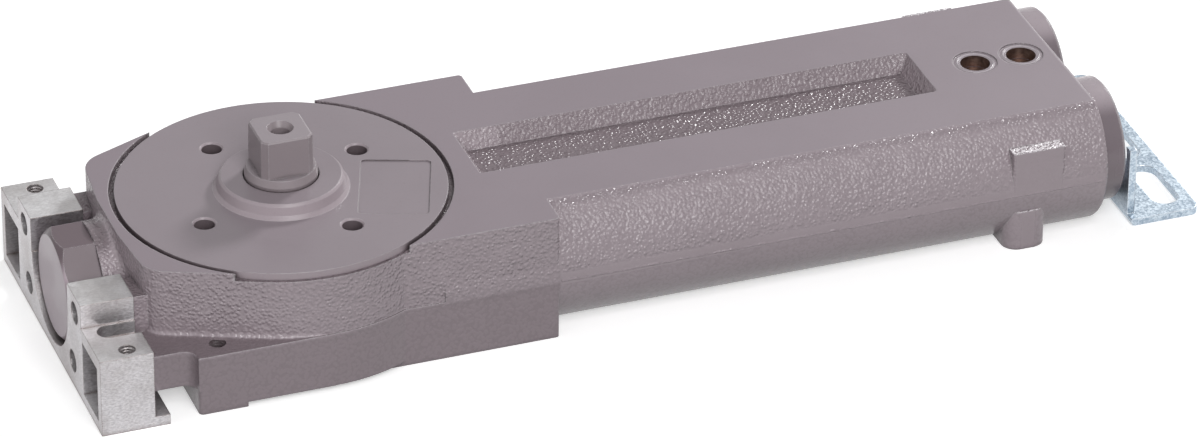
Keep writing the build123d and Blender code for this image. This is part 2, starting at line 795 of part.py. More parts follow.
# Push rods, spring seats, closing springs and spring plugs, one set for each barrel
rod_head_half_height = plate_inner - rod_head_gap
seat_radius = spring_bore_radius - seat_side_gap
spring_start_x = seat_face_x + seat_thickness + spring_end_gap
spring_end_x = spring_plug_inner_x - spring_end_gap
plug_shank_radius = spring_bore_radius - spring_plug_fit
plug_seal_inner = plug_shank_radius - plug_seal_width
for side_name, side in side_signs.items():
    line_y = side * spring_spread
    with BuildPart() as push_rod:
        with BuildSketch(level(mechanism_height - rod_head_half_height)):
            with Locations((rod_pin_x, line_y)):
                Rectangle(plate_wing_end_x - plate_wing_start_x, rod_head_width)
                fillet(vertices(), plate_corner_radius)
                Circle(rod_pin_radius + static_fit, mode=Mode.SUBTRACT)
        extrude(amount=2 * rod_head_half_height)
        with BuildSketch(across(plate_wing_end_x)):
            with Locations((line_y, mechanism_height)):
                Circle(rod_radius)
        extrude(amount=seat_face_x - plate_wing_end_x)
        with BuildSketch(across(seat_face_x)):
            with Locations((line_y, mechanism_height)):
                Circle(rod_spigot_radius)
        extrude(amount=seat_thickness + seat_hub_length)
    push_rod.part.label = f"push_rod_{side_name}"
    export_step(push_rod.part, f"parts/push_rod_{side_name}.step")

    with BuildPart() as spring_seat:
        with BuildSketch(across(seat_face_x)):
            with Locations((line_y, mechanism_height)):
                Circle(seat_radius)
        extrude(amount=seat_thickness)
        with BuildSketch(across(seat_face_x + seat_thickness)):
            with Locations((line_y, mechanism_height)):
                Circle(seat_hub_radius)
        extrude(amount=seat_hub_length)
        with BuildSketch(across(seat_face_x)):
            with Locations((line_y, mechanism_height)):
                Circle(rod_spigot_radius + static_fit)
        extrude(amount=seat_thickness + seat_hub_length, mode=Mode.SUBTRACT)
    spring_seat.part.label = f"spring_seat_{side_name}"
    export_step(spring_seat.part, f"parts/spring_seat_{side_name}.step")

    # Square-wire die spring whose ends are ground flat against the seat and the plug
    spring_length = spring_end_x - spring_start_x
    with BuildPart() as closing_spring:
        with BuildLine():
            coil = Helix(
                spring_pitch,
                spring_length,
                spring_mean_radius,
                center=(spring_start_x, line_y, mechanism_height),
                direction=(1, 0, 0),
            )
        spring_axis_start = Vector(spring_start_x, line_y, mechanism_height)
        toward_axis = spring_axis_start - coil @ 0
        with BuildSketch(Plane(origin=coil @ 0, x_dir=toward_axis, z_dir=coil % 0)):
            Rectangle(spring_wire_width, spring_wire_width)
        sweep(is_frenet=True)
        with BuildSketch(across(spring_start_x)):
            with Locations((line_y, mechanism_height)):
                Circle(spring_mean_radius + 2 * spring_wire_width)
        extrude(amount=spring_length, mode=Mode.INTERSECT)
    closing_spring.part.label = f"closing_spring_{side_name}"
    export_step(closing_spring.part, f"parts/closing_spring_{side_name}.step")

    with BuildPart() as spring_plug:
        with BuildSketch(across(spring_plug_inner_x)):
            with Locations((line_y, mechanism_height)):
                Circle(plug_shank_radius)
        extrude(amount=body_end_x - spring_plug_inner_x)
        with BuildSketch(across(body_end_x)):
            with Locations((line_y, mechanism_height)):
                Circle(spring_plug_head_radius)
        extrude(amount=spring_plug_outer_x - body_end_x)
        chamfer(spring_plug.faces().sort_by(Axis.X)[-1].edges(), spring_plug_chamfer)
        with BuildSketch(across(spring_plug_inner_x)):
            with Locations((line_y, mechanism_height)):
                Circle(seat_hub_radius)
        extrude(amount=-spring_plug_spigot_length)
        with BuildSketch(across(spring_plug_outer_x)):
            with Locations(
                (line_y, mechanism_height + spanner_hole_spread / 2),
                (line_y, mechanism_height - spanner_hole_spread / 2),
            ):
                Circle(spanner_hole_radius)
        extrude(amount=-spanner_hole_depth, mode=Mode.SUBTRACT)
        with BuildSketch(across(plug_seal_x - seal_squeeze)):
            with Locations((line_y, mechanism_height)):
                Circle(plug_shank_radius + seal_squeeze)
                Circle(plug_seal_inner - seal_squeeze, mode=Mode.SUBTRACT)
        extrude(amount=plug_seal_width + 2 * seal_squeeze, mode=Mode.SUBTRACT)
    spring_plug.part.label = f"spring_plug_{side_name}"
    export_step(spring_plug.part, f"parts/spring_plug_{side_name}.step")

    with BuildPart() as plug_seal:
        with BuildSketch(across(plug_seal_x)):
            with Locations((line_y, mechanism_height)):
                Circle(plug_shank_radius)
                Circle(plug_seal_inner, mode=Mode.SUBTRACT)
        extrude(amount=plug_seal_width)
    plug_seal.part.label = f"spring_plug_seal_{side_name}"
    export_step(plug_seal.part, f"parts/spring_plug_seal_{side_name}.step")

# Pins that hold the push rods between the carriage plates
with BuildPart() as rod_pins:
    with BuildSketch(level(mechanism_height - plate_outer)):
        with Locations((rod_pin_x, -spring_spread), (rod_pin_x, spring_spread)):
            Circle(rod_pin_radius)
    extrude(amount=2 * plate_outer)
rod_pins.part.label = "rod_pins"
export_step(rod_pins.part, "parts/rod_pins.step")

# Damping piston: closed crown with the check valve, and two arms that hold the piston roller
with BuildPart() as damping_piston:
    with BuildSketch(across(piston_crown_x)):
        with Locations((0, mechanism_height)):
            Circle(piston_radius)
    extrude(amount=piston_arm_end_x - piston_crown_x)
    front_edge = damping_piston.edges().filter_by(GeomType.CIRCLE).sort_by(Axis.X)[0]
    chamfer(front_edge, piston_chamfer)
    with BuildSketch(across(piston_back_x)):
        with Locations((0, mechanism_height)):
            Rectangle(2 * piston_bore_radius, 2 * (plate_outer + static_fit))
    extrude(amount=piston_arm_end_x - piston_back_x, mode=Mode.SUBTRACT)
    with BuildSketch(level(mechanism_height - piston_radius)):
        with Locations((-tip_pitch_radius, 0)):
            Circle(roller_pin_radius + static_fit)
    extrude(amount=2 * piston_radius, mode=Mode.SUBTRACT)
    with BuildSketch(across(piston_crown_x)):
        with Locations((0, mechanism_height)):
            Circle(check_passage_radius)
    extrude(amount=piston_crown_thickness, mode=Mode.SUBTRACT)
    with BuildSketch(across(piston_crown_x)):
        with Locations((0, mechanism_height)):
            Circle(check_ball_radius + running_fit)
    extrude(amount=check_pocket_depth, mode=Mode.SUBTRACT)
damping_piston.part.label = "damping_piston"
export_step(damping_piston.part, "parts/damping_piston.step")

check_ball_x = piston_crown_x + check_retainer_thickness + running_fit + check_ball_radius
with BuildPart(Plane(origin=(check_ball_x, 0, mechanism_height))) as check_ball:
    Sphere(check_ball_radius)
check_ball.part.label = "check_ball"
export_step(check_ball.part, "parts/check_ball.step")

with BuildPart() as check_ball_retainer:
    with BuildSketch(across(piston_crown_x)):
        with Locations((0, mechanism_height)):
            Circle(check_ball_radius + running_fit)
            Circle(check_retainer_bore, mode=Mode.SUBTRACT)
    extrude(amount=check_retainer_thickness)
check_ball_retainer.part.label = "check_ball_retainer"
export_step(check_ball_retainer.part, "parts/check_ball_retainer.step")

# End plug: octagonal head with a turned front corner, threaded shank and seal
with BuildPart() as end_plug:
    with BuildSketch(across(end_plug_front_x)):
        with Locations((0, mechanism_height)):
            RegularPolygon(end_plug_flat, end_plug_sides, major_radius=False, rotation=180 / end_plug_sides)
    extrude(amount=neck_end_x - end_plug_front_x)
    with BuildSketch(across(end_plug_front_x)):
        with Locations((0, mechanism_height)):
            Circle(end_plug_face_radius)
    extrude(amount=neck_end_x - end_plug_front_x, taper=-end_plug_face_slope, mode=Mode.INTERSECT)
    with BuildSketch(across(neck_end_x)):
        with Locations((0, mechanism_height)):
            Circle(end_plug_shank_radius)
    extrude(amount=end_plug_shank_length)
    end_seal_x = neck_end_x + (end_plug_shank_length - end_plug_seal_width) / 2
    end_seal_inner = end_plug_shank_radius - end_plug_seal_width
    with BuildSketch(across(end_seal_x - seal_squeeze)):
        with Locations((0, mechanism_height)):
            Circle(end_plug_shank_radius + seal_squeeze)
            Circle(end_seal_inner - seal_squeeze, mode=Mode.SUBTRACT)
    extrude(amount=end_plug_seal_width + 2 * seal_squeeze, mode=Mode.SUBTRACT)
end_plug.part.label = "end_plug"
export_step(end_plug.part, "parts/end_plug.step")

with BuildPart() as end_plug_seal:
    with BuildSketch(across(end_seal_x)):
        with Locations((0, mechanism_height)):
            Circle(end_plug_shank_radius)
            Circle(end_seal_inner, mode=Mode.SUBTRACT)
    extrude(amount=end_plug_seal_width)
end_plug_seal.part.label = "end_plug_seal"
export_step(end_plug_seal.part, "parts/end_plug_seal.step")

# Valve screws: brass, hex socket on top, needle below, each with its flat-section seal ring
valve_screw_radius = valve_bore_radius - running_fit
valve_seal_inner = valve_screw_radius - valve_seal_width
valve_seal_height = housing_height - valve_seal_depth
valve_screw_bottom = housing_height - valve_bore_depth + valve_screw_lift + valve_needle_length
for valve_name, valve_x in {"closing_valve": closing_valve_x, "latching_valve": latching_valve_x}.items():
    with BuildPart() as valve_screw:
        with BuildSketch(level(valve_screw_bottom)):
            with Locations((valve_x, 0)):
                Circle(valve_screw_radius)
        extrude(amount=valve_screw_length)
        with BuildSketch(level(valve_screw_bottom)):
            with Locations((valve_x, 0)):
                Circle(valve_needle_radius)
        extrude(amount=-valve_needle_length)
        with BuildSketch(level(valve_screw_bottom + valve_screw_length)):
            with Locations((valve_x, 0)):
                RegularPolygon(valve_hex_flats / 2, 6, major_radius=False)
        extrude(amount=-valve_hex_depth, mode=Mode.SUBTRACT)
        with BuildSketch(level(valve_seal_height - seal_squeeze)):
            with Locations((valve_x, 0)):
                Circle(valve_screw_radius + seal_squeeze)
                Circle(valve_seal_inner - seal_squeeze, mode=Mode.SUBTRACT)
        extrude(amount=valve_seal_width + 2 * seal_squeeze, mode=Mode.SUBTRACT)
    valve_screw.part.label = f"{valve_name}_screw"
    export_step(valve_screw.part, f"parts/{valve_name}_screw.step")

    with BuildPart() as valve_seal:
        with BuildSketch(level(valve_seal_height)):
            with Locations((valve_x, 0)):
                Circle(valve_screw_radius)
                Circle(valve_seal_inner, mode=Mode.SUBTRACT)
        extrude(amount=valve_seal_width)
    valve_seal.part.label = f"{valve_name}_seal"
    export_step(valve_seal.part, f"parts/{valve_name}_seal.step")

# End bracket: two posts with windows and blocks beside the saddle for the end plug
with BuildPart() as end_bracket:
    with BuildSketch(across(bracket_front_x)):
        with Locations((0, bracket_post_height / 2)):
            Rectangle(2 * bracket_half_width, bracket_post_height)
        block_middle = (bracket_block_inner + bracket_block_outer) / 2
        with Locations((-block_middle, bracket_block_height / 2), (block_middle, bracket_block_height / 2)):
            Rectangle(bracket_block_outer - bracket_block_inner, bracket_block_height)
        with Locations((0, bracket_saddle_height)):
            Circle(bracket_saddle_radius, mode=Mode.SUBTRACT)
        with Locations((0, bracket_saddle_height)):
            saddle_align = (Align.CENTER, Align.MIN)
            Rectangle(2 * bracket_block_inner, bracket_block_height, align=saddle_align, mode=Mode.SUBTRACT)
        window_middle_y = (bracket_window_inner + bracket_window_outer) / 2
        window_middle_z = (bracket_window_bottom + bracket_window_top) / 2
        with Locations((-window_middle_y, window_middle_z), (window_middle_y, window_middle_z)):
            Rectangle(
                bracket_window_outer - bracket_window_inner,
                bracket_window_top - bracket_window_bottom,
                mode=Mode.SUBTRACT,
            )
        with Locations(*pin_places):
            Circle(bracket_hole_radius, mode=Mode.SUBTRACT)
    extrude(amount=bracket_back_x - bracket_front_x)
    with BuildSketch(base):
        with Locations((bracket_foot_x, 0)):
            foot_depth = bracket_foot_x - bracket_back_x + root_overlap
            Rectangle(foot_depth, 2 * bracket_half_width, align=(Align.MAX, Align.CENTER))
    extrude(amount=bracket_foot_thickness)
    for side in side_signs.values():
        slot_middle = side * (bracket_slot_inner + bracket_slot_outer) / 2
        slot_across = bracket_slot_outer - bracket_slot_inner
        round_centre_x = bracket_slot_end_x + slot_across / 2
        with BuildSketch(level(bracket_window_top)):
            with Locations((round_centre_x, slot_middle)):
                Circle(slot_across / 2)
                Rectangle(
                    bracket_back_x - round_centre_x, slot_across, align=(Align.MIN, Align.CENTER)
                )
        extrude(amount=bracket_post_height - bracket_window_top, mode=Mode.SUBTRACT)
        with Locations((bracket_thread_x, side * bracket_thread_y, bracket_post_height)):
            Hole(fixing_thread_radius, bracket_post_height - bracket_window_top)
end_bracket.part.label = "end_bracket"
export_step(end_bracket.part, "parts/end_bracket.step")

# Slit spring pins that lock the end bracket to the housing
with BuildPart() as bracket_pins:
    with BuildSketch(across(bracket_pin_front_x)):
        with Locations(*pin_places):
            Circle(bracket_hole_radius)
            Circle(bracket_pin_bore_radius, mode=Mode.SUBTRACT)
            Rectangle(
                bracket_pin_slit,
                bracket_hole_radius,
                align=(Align.CENTER, Align.MIN),
                mode=Mode.SUBTRACT,
            )
    extrude(amount=bracket_pin_back_x - bracket_pin_front_x)
bracket_pins.part.label = "bracket_pins"
export_step(bracket_pins.part, "parts/bracket_pins.step")

# Slotted bracket: folded steel sheet, its wall cut away round the spring plugs
with BuildPart() as slotted_bracket:
    with BuildSketch(base):
        plate_length = slotted_far_x - slotted_near_x
        with Locations((slotted_near_x + plate_length / 2, 0)):
            Rectangle(plate_length, 2 * slotted_half_width)
        fillet(vertices().group_by(Axis.X)[-1], slotted_plate_corner)
        middle = (side_slot_inner + side_slot_outer) / 2
        with Locations((slot_centre_x, -middle), (slot_centre_x, middle)):
            side_slot_length = side_slot_outer - side_slot_inner
            SlotOverall(side_slot_length, slot_width, rotation=90, mode=Mode.SUBTRACT)
        with Locations((slot_centre_x, 0)):
            SlotOverall(middle_slot_length, slot_width, rotation=90, mode=Mode.SUBTRACT)
    extrude(amount=sheet_thickness)
    with BuildSketch(across(slotted_near_x)):
        with Locations((0, slotted_wall_height / 2)):
            Rectangle(2 * slotted_wall_half_width, slotted_wall_height)
        with Locations((-spring_spread, mechanism_height), (spring_spread, mechanism_height)):
            Circle(slotted_wall_cutout_radius, mode=Mode.SUBTRACT)
        with Locations((0, slotted_wall_height)):
            Rectangle(2 * spring_spread, 2 * slotted_wall_dip, mode=Mode.SUBTRACT)
        with Locations((0, anchor_boss_height)):
            Circle(anchor_screw_radius + running_gap, mode=Mode.SUBTRACT)
    extrude(amount=sheet_thickness)
    outer_bend = slotted_bracket.edges().filter_by(Axis.Y).group_by(Axis.Z)[0].sort_by(Axis.X)[0]
    fillet(outer_bend, sheet_bend_radius)
slotted_bracket.part.label = "slotted_bracket"
export_step(slotted_bracket.part, "parts/slotted_bracket.step")

# Screw that holds the slotted bracket to the anchor boss
with BuildPart() as slotted_bracket_screw:
    head_face_x = slotted_near_x + sheet_thickness
    with BuildSketch(across(head_face_x)):
        with Locations((0, anchor_boss_height)):
            Circle(anchor_head_radius)
    extrude(amount=anchor_head_height)
    fillet(slotted_bracket_screw.edges().group_by(Axis.X)[-1], anchor_edge_radius)
    with BuildSketch(across(head_face_x)):
        with Locations((0, anchor_boss_height)):
            Circle(anchor_screw_radius)
    extrude(amount=-anchor_screw_depth)
    with BuildSketch(across(head_face_x + anchor_head_height)):
        with Locations((0, anchor_boss_height)):
            RegularPolygon(anchor_hex_flats / 2, 6, major_radius=False)
    extrude(amount=-anchor_hex_depth, mode=Mode.SUBTRACT)
slotted_bracket_screw.part.label = "slotted_bracket_screw"
export_step(slotted_bracket_screw.part, "parts/slotted_bracket_screw.step")
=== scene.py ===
"""Dresses the concealed door closer: paint, bare metals, threads, casting lines, springs and studio."""

import json
import logging
from dataclasses import dataclass
from enum import Enum
from functools import cached_property
from math import acos, atan2, cos, hypot, pi, radians, sin, tan

import bmesh
import bpy
import numpy as np
from mathutils import Matrix, Vector

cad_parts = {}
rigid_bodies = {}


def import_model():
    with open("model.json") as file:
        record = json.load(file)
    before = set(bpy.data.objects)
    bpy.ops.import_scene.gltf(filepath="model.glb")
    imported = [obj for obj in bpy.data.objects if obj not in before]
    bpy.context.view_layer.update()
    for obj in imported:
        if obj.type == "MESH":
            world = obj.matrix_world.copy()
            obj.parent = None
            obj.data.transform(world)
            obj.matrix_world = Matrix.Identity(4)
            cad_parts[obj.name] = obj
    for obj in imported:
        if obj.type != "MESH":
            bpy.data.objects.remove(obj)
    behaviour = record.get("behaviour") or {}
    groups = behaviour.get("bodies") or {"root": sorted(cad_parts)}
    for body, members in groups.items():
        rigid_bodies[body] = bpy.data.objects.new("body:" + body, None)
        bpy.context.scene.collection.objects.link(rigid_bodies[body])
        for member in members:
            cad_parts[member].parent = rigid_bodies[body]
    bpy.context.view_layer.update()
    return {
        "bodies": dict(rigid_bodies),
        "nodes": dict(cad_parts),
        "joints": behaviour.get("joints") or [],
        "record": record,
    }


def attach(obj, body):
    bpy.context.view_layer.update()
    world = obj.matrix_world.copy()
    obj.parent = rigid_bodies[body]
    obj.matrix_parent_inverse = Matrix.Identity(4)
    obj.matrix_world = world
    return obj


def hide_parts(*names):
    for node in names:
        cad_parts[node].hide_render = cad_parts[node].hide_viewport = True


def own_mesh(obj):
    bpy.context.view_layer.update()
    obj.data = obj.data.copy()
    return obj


LOG = logging.getLogger("closer")
MM = 0.001
WHITE = (1.0, 1.0, 1.0, 1.0)

Grid = np.ndarray
Colour = tuple[float, float, float]
Point = tuple[float, float, float]
Thing = bpy.types.Object
Material = bpy.types.Material
Node = bpy.types.Node
Outputs = bpy.types.NodeOutputs
Socket = bpy.types.NodeSocket
Value = Socket | float | tuple


class Side(Enum):
    """The two sides of the body, by the sign of Y."""

    NEAR = -1
    FAR = 1


class Skin(Enum):
    """How the iron surface below the paint was left."""

    CAST = "cast"
    TURNED = "turned"
    SMOOTH = "smooth"


def to_linear(level: float) -> float:
    """Linear light for one display value from 0 to 1."""
    return level / 12.92 if level <= 0.04045 else ((level + 0.055) / 1.055) ** 2.4


def shade(red: int, green: int, blue: int) -> Colour:
    """Linear colour for display values from 0 to 255."""
    return (to_linear(red / 255), to_linear(green / 255), to_linear(blue / 255))


def opaque(tone: Colour) -> tuple[float, float, float, float]:
    """The colour with a full alpha, as sockets want it."""
    return (*tone, 1.0)


# Mesh surfaces


def add_object(name: str, data: bpy.types.ID) -> Thing:
    """Puts a mesh, lamp or camera into the scene as an object."""
    piece = bpy.data.objects.new(name, data)
    bpy.context.scene.collection.objects.link(piece)
    return piece


def grid_mesh(name: str, points: Grid, close_u: bool = False, close_v: bool = False) -> Thing:
    """Makes a smooth quad surface from a grid of points.

    Vertex (i, j) is points[i, j]; quad (i, j) joins it to its neighbours along i and j, and a closed
    direction wraps round to the start.

    Args:
        name: Object name.
        points: Array of shape (n, m, 3), in millimetres.
        close_u: Whether the first direction wraps.
        close_v: Whether the second direction wraps.

    Returns:
        The new object, linked to the scene.
    """
    count_u, count_v, _ = points.shape
    index = np.arange(count_u * count_v).reshape(count_u, count_v)
    rows = np.concatenate([index, index[:1]]) if close_u else index
    rows = np.concatenate([rows, rows[:, :1]], axis=1) if close_v else rows
    corners = [rows[:-1, :-1], rows[1:, :-1], rows[1:, 1:], rows[:-1, 1:]]
    quads = np.stack(corners, axis=-1).reshape(-1, 4)
    mesh = bpy.data.meshes.new(name)
    mesh.from_pydata((points.reshape(-1, 3) * MM).tolist(), [], quads.tolist())
    mesh.polygons.foreach_set("use_smooth", np.ones(len(mesh.polygons), bool))
    mesh.update()
    return add_object(name, mesh)


def stacked(along: Grid | float, across: Grid | float, height: Grid | float) -> Grid:
    """Grid of points from its three coordinates, each spread over the whole grid."""
    return np.stack(np.broadcast_arrays(along, across, height), axis=-1)


def full_turn(steps: int) -> Grid:
    """Even angles round one turn, as a column."""
    return np.linspace(0, 2 * pi, steps, endpoint=False)[:, None]


def revolved(centre: Point, turn: Grid, reach: Grid | float, height: Grid) -> Grid:
    """Points about the upright axis through the centre, by turn, reach from the axis and height."""
    return stacked(centre[0] + reach * np.cos(turn), centre[1] + reach * np.sin(turn), height)


def wave_noise(u: Grid, v: Grid, seed: int) -> Grid:
    """Smooth noise from about -1 to 1: a sum of plane waves of seeded direction, length and phase."""
    waves, first_pace, quickening, fading, span = 5, 0.7, 1.7, 1.35, 3.0
    dice = np.random.default_rng(seed)
    total = np.zeros(np.broadcast(u, v).shape)
    for octave in range(waves):
        turn = dice.uniform(0, 2 * pi)
        phase = dice.uniform(0, 2 * pi)
        pace = first_pace * quickening**octave
        total += np.sin(pace * (u * cos(turn) + v * sin(turn)) + phase) / fading**octave
    return total / span


def internal_thread(name: str, mouth: Point, radius: float, depth: float, pitch: float) -> Thing:
    """Thread wall inside an upright hole.

    At turn t and depth z the radius is the hole's, less the crest height times a triangle wave of
    z / pitch - t / 2 pi, faded in over the first turn.

    Args:
        name: Object name.
        mouth: Middle of the hole's mouth, in millimetres.
        radius: Wall radius of the hole.
        depth: Length of thread.
        pitch: Thread pitch.

    Returns:
        The thread as a closed band.
    """
    wall_gap, crest_share = 0.02, 0.3
    turn = full_turn(36)
    down = np.linspace(0, depth, int(depth / pitch * 8) + 1)[None, :]
    crest = np.abs(2 * np.mod(down / pitch - turn / (2 * pi), 1.0) - 1)
    reach = radius - wall_gap - crest_share * pitch * crest * np.clip(down / pitch, 0, 1)
    return grid_mesh(name, revolved(mouth, turn, reach, mouth[2] - down), close_u=True)


def concave_section(radius: Grid, seed: int) -> tuple[Grid, Grid]:
    """Section of a cast fillet between two faces at right angles, for each station along it.

    The section is a quarter circle of the given radius about a centre that lies that far from both faces,
    with slow noise added to its height, and its two edges run a little way into the faces.

    Args:
        radius: Fillet radius at each station, in millimetres.
        seed: Seed of the noise.

    Returns:
        Distance out along the first face and up along the second, each of shape (stations, points).
    """
    lumpiness, root_depth, skirt_reach = 0.07, 0.06, 0.4
    turn = np.linspace(0, pi / 2, 9)[None, :]
    size = radius[:, None]
    station = np.arange(len(radius))[:, None]
    lump = lumpiness * wave_noise(station * 0.45, turn * 2.5, seed)
    out = size - (size - lump) * np.sin(turn)
    rise = size - (size - lump) * np.cos(turn)
    root, skirt = np.full_like(size, -root_depth), size + skirt_reach
    return np.hstack([skirt, out, root]), np.hstack([root, rise, skirt])


# Node trees


@dataclass
class Tree:
    """A node tree with short ways to add nodes and join them."""

    tree: bpy.types.NodeTree

    def add(self, kind: str, links: dict[str | int, Value] | None = None, **values: object) -> Node:
        """Adds a node.

        Args:
            kind: Node type without its ShaderNode prefix.
            links: Input socket names or numbers, each with a socket to join or a plain value.
            values: Node properties.

        Returns:
            The new node.
        """
        node = self.tree.nodes.new("ShaderNode" + kind)
        for key, value in values.items():
            setattr(node, key, value)
        for key, value in (links or {}).items():
            self.put(node.inputs[key], value)
        return node

    def put(self, socket: Socket, value: Value) -> None:
        """Joins a socket to an input, or sets the input's plain value."""
        if isinstance(value, bpy.types.NodeSocket):
            self.tree.links.new(value, socket)
        else:
            socket.default_value = value

    def math(self, operation: str, first: Value, second: Value = 0.0) -> Socket:
        """Result of a Math node on one or two values."""
        return self.add("Math", {0: first, 1: second}, operation=operation).outputs[0]

    def times(self, first: Value, *factors: Value) -> Socket:
        """Product of the values."""
        for factor in factors:
            first = self.math("MULTIPLY", first, factor)
        return first

    def inverse(self, mask: Value) -> Socket:
        """One less the mask."""
        return self.math("SUBTRACT", 1.0, mask)

    def ramp(
        self, value: Value, low: float, high: float, start: float = 0.0, end: float = 1.0
    ) -> Socket:
        """Smooth step of a value from low to high, put out from start to end."""
        node = self.add(
            "MapRange",
            {"Value": value, "From Min": low, "From Max": high, "To Min": start, "To Max": end},
            interpolation_type="SMOOTHSTEP",
        )
        return node.outputs[0]

    def blend(self, factor: Value, first: Value, second: Value) -> Socket:
        """Mix of two colours."""
        links = {0: factor, 6: first, 7: second}
        return self.add("Mix", links, data_type="RGBA", clamp_factor=True).outputs[2]

    def tint(self, tone: Value, colour: Colour, mask: Value, share: float = 1.0) -> Socket:
        """Moves a tone towards a colour, by a mask times a share."""
        return self.blend(self.times(mask, share), tone, opaque(colour))

    def noise(self, place: Value, scale: Value, detail: float = 3.0, rough: float = 0.55) -> Socket:
        """Noise value at this scale per metre."""
        links = {"Vector": place, "Scale": scale, "Detail": detail, "Roughness": rough}
        return self.add("TexNoise", links).outputs["Fac"]

    def split(self, vector: Value) -> Outputs:
        """The three components of a vector."""
        return self.add("SeparateXYZ", {0: vector}).outputs

    def reach(self, place: Value) -> Socket:
        """Distance from the Z axis."""
        flat = self.add("VectorMath", {0: place, 1: (1.0, 1.0, 0.0)}, operation="MULTIPLY")
        return self.add("VectorMath", {0: flat.outputs[0]}, operation="LENGTH").outputs["Value"]

    def bump(self, height: Value, strength: float, rise: float, normal: Socket | None) -> Socket:
        """Normal bent by a height, on top of an earlier normal if there is one."""
        node = self.add("Bump", {"Height": height, "Strength": strength, "Distance": rise})
        if normal is not None:
            self.put(node.inputs["Normal"], normal)
        return node.outputs[0]

    def group(self, group: bpy.types.NodeTree, links: dict[str, Value]) -> Outputs:
        """Places a node group with its inputs, and gives its outputs."""
        node = self.tree.nodes.new("ShaderNodeGroup")
        node.node_tree = group
        for key, value in links.items():
            self.put(node.inputs[key], value)
        return node.outputs

    def feed(self, node: Node, **values: Value) -> None:
        """Fills inputs of a node, named in lower case with underscores."""
        for key, value in values.items():
            self.put(node.inputs[key.replace("_", " ").title()], value)


class EffectGroups:
    """The shader effects that several finishes share, each built once, at its first use."""

    @staticmethod
    def start(
        name: str, inputs: dict[str, tuple[str, float | None]], outputs: dict[str, str]
    ) -> tuple[Tree, Outputs, Node]:
        """Makes an empty group.

        Args:
            name: Group name.
            inputs: Socket names with their type and default.
            outputs: Socket names with their type.

        Returns:
            The tree helper, the sockets that bring the inputs, and the group's output node.
        """
        tree = bpy.data.node_groups.new(name, "ShaderNodeTree")
        for label, (kind, default) in inputs.items():
            socket = tree.interface.new_socket(label, in_out="INPUT", socket_type="NodeSocket" + kind)
            if default is not None:
                socket.default_value = default
        for label, kind in outputs.items():
            tree.interface.new_socket(label, in_out="OUTPUT", socket_type="NodeSocket" + kind)
        return Tree(tree), tree.nodes.new("NodeGroupInput").outputs, tree.nodes.new("NodeGroupOutput")

    @cached_property
    def cast_skin(self) -> bpy.types.NodeTree:
        """Skin of a sand casting under paint: soft lumps about a millimetre wide on a slow swell."""
        tree, source, result = self.start(
            "cast_skin",
            {"Vector": ("Vector", None), "Lumps": ("Float", 620.0), "Strength": ("Float", 1.0)},
            {"Height": "Float", "Pits": "Float"},
        )
        place, pace = source["Vector"], source["Lumps"]
        pebbles = tree.add(
            "TexVoronoi",
            {"Vector": place, "Scale": tree.times(pace, 0.8), "Smoothness": 0.6},
            feature="SMOOTH_F1",
        )
        domes = tree.ramp(pebbles.outputs["Distance"], 0.75, 0.05)
        grain = tree.times(tree.noise(place, pace, 1.0, 0.4), 0.6)
        swell = tree.times(tree.noise(place, 110.0, 1.0), 2.2)
        height = tree.math("ADD", tree.math("ADD", domes, grain), swell)
        tree.feed(result, height=tree.times(height, source["Strength"]), pits=tree.ramp(domes, 0.35, 0.0))
        return tree.tree

    @cached_property
    def turning_marks(self) -> bpy.types.NodeTree:
        """Fine lathe or mill marks: rings about the Z axis, broken up by slow noise."""
        tree, source, result = self.start(
            "turning_marks",
            {"Vector": ("Vector", None), "Marks": ("Float", 2600.0)},
            {"Height": "Float", "Mask": "Float"},
        )
        place = source["Vector"]
        line = tree.add("CombineXYZ", {0: tree.times(tree.reach(place), source["Marks"])})
        rings = tree.noise(line.outputs[0], 1.0, 2.0, 0.7)
        patch = tree.ramp(tree.noise(place, 60.0, 3.0), 0.35, 0.65)
        tree.feed(result, height=tree.times(rings, tree.math("ADD", patch, 0.4)), mask=patch)
        return tree.tree

    @cached_property
    def edge_wear_and_shade(self) -> bpy.types.NodeTree:
        """Rounded edges, edge wear, and painted shade in the corners.

        Its outputs are the softened normal, a mask where that leaves the true normal, and a mask where
        corners close in, which the finishes use for painted shade.
        """
        tree, source, result = self.start(
            "edge_wear_and_shade",
            {"Radius": ("Float", 0.0005)},
            {"Normal": "Vector", "Mask": "Float", "Crevice": "Float"},
        )
        rounded = tree.add("Bevel", {"Radius": source["Radius"]}, samples=4).outputs[0]
        true = tree.add("NewGeometry").outputs["Normal"]
        match = tree.add("VectorMath", {0: rounded, 1: true}, operation="DOT_PRODUCT").outputs["Value"]
        place = tree.add("TexCoord").outputs["Object"]
        chips = tree.ramp(tree.noise(place, 700.0, 2.0), 0.3, 0.6, 0.4, 1.0)
        # Ambient occlusion marks the corners that take painted shade.
        openness = tree.add("AmbientOcclusion", {"Distance": 3.0 * MM}, samples=4).outputs["AO"]
        tree.feed(
            result,
            normal=rounded,
            mask=tree.times(chips, tree.ramp(match, 0.985, 0.88)),
            crevice=tree.ramp(openness, 0.74, 0.28),
        )
        return tree.tree

    @cached_property
    def dust(self) -> bpy.types.NodeTree:
        """Handling dirt: cloudy patches and small specks, as masks from 0 to 1."""
        tree, source, result = self.start(
            "dust",
            {"Vector": ("Vector", None), "Patch Size": ("Float", 35.0), "Speck Size": ("Float", 900.0)},
            {"Patches": "Float", "Specks": "Float"},
        )
        place = source["Vector"]
        cloud = tree.noise(place, source["Patch Size"], 5.0, 0.6)
        spots = tree.noise(place, source["Speck Size"], 2.0, 0.5)
        tree.feed(result, patches=tree.ramp(cloud, 0.35, 0.7), specks=tree.ramp(spots, 0.58, 0.72))
        return tree.tree


EFFECTS = EffectGroups()


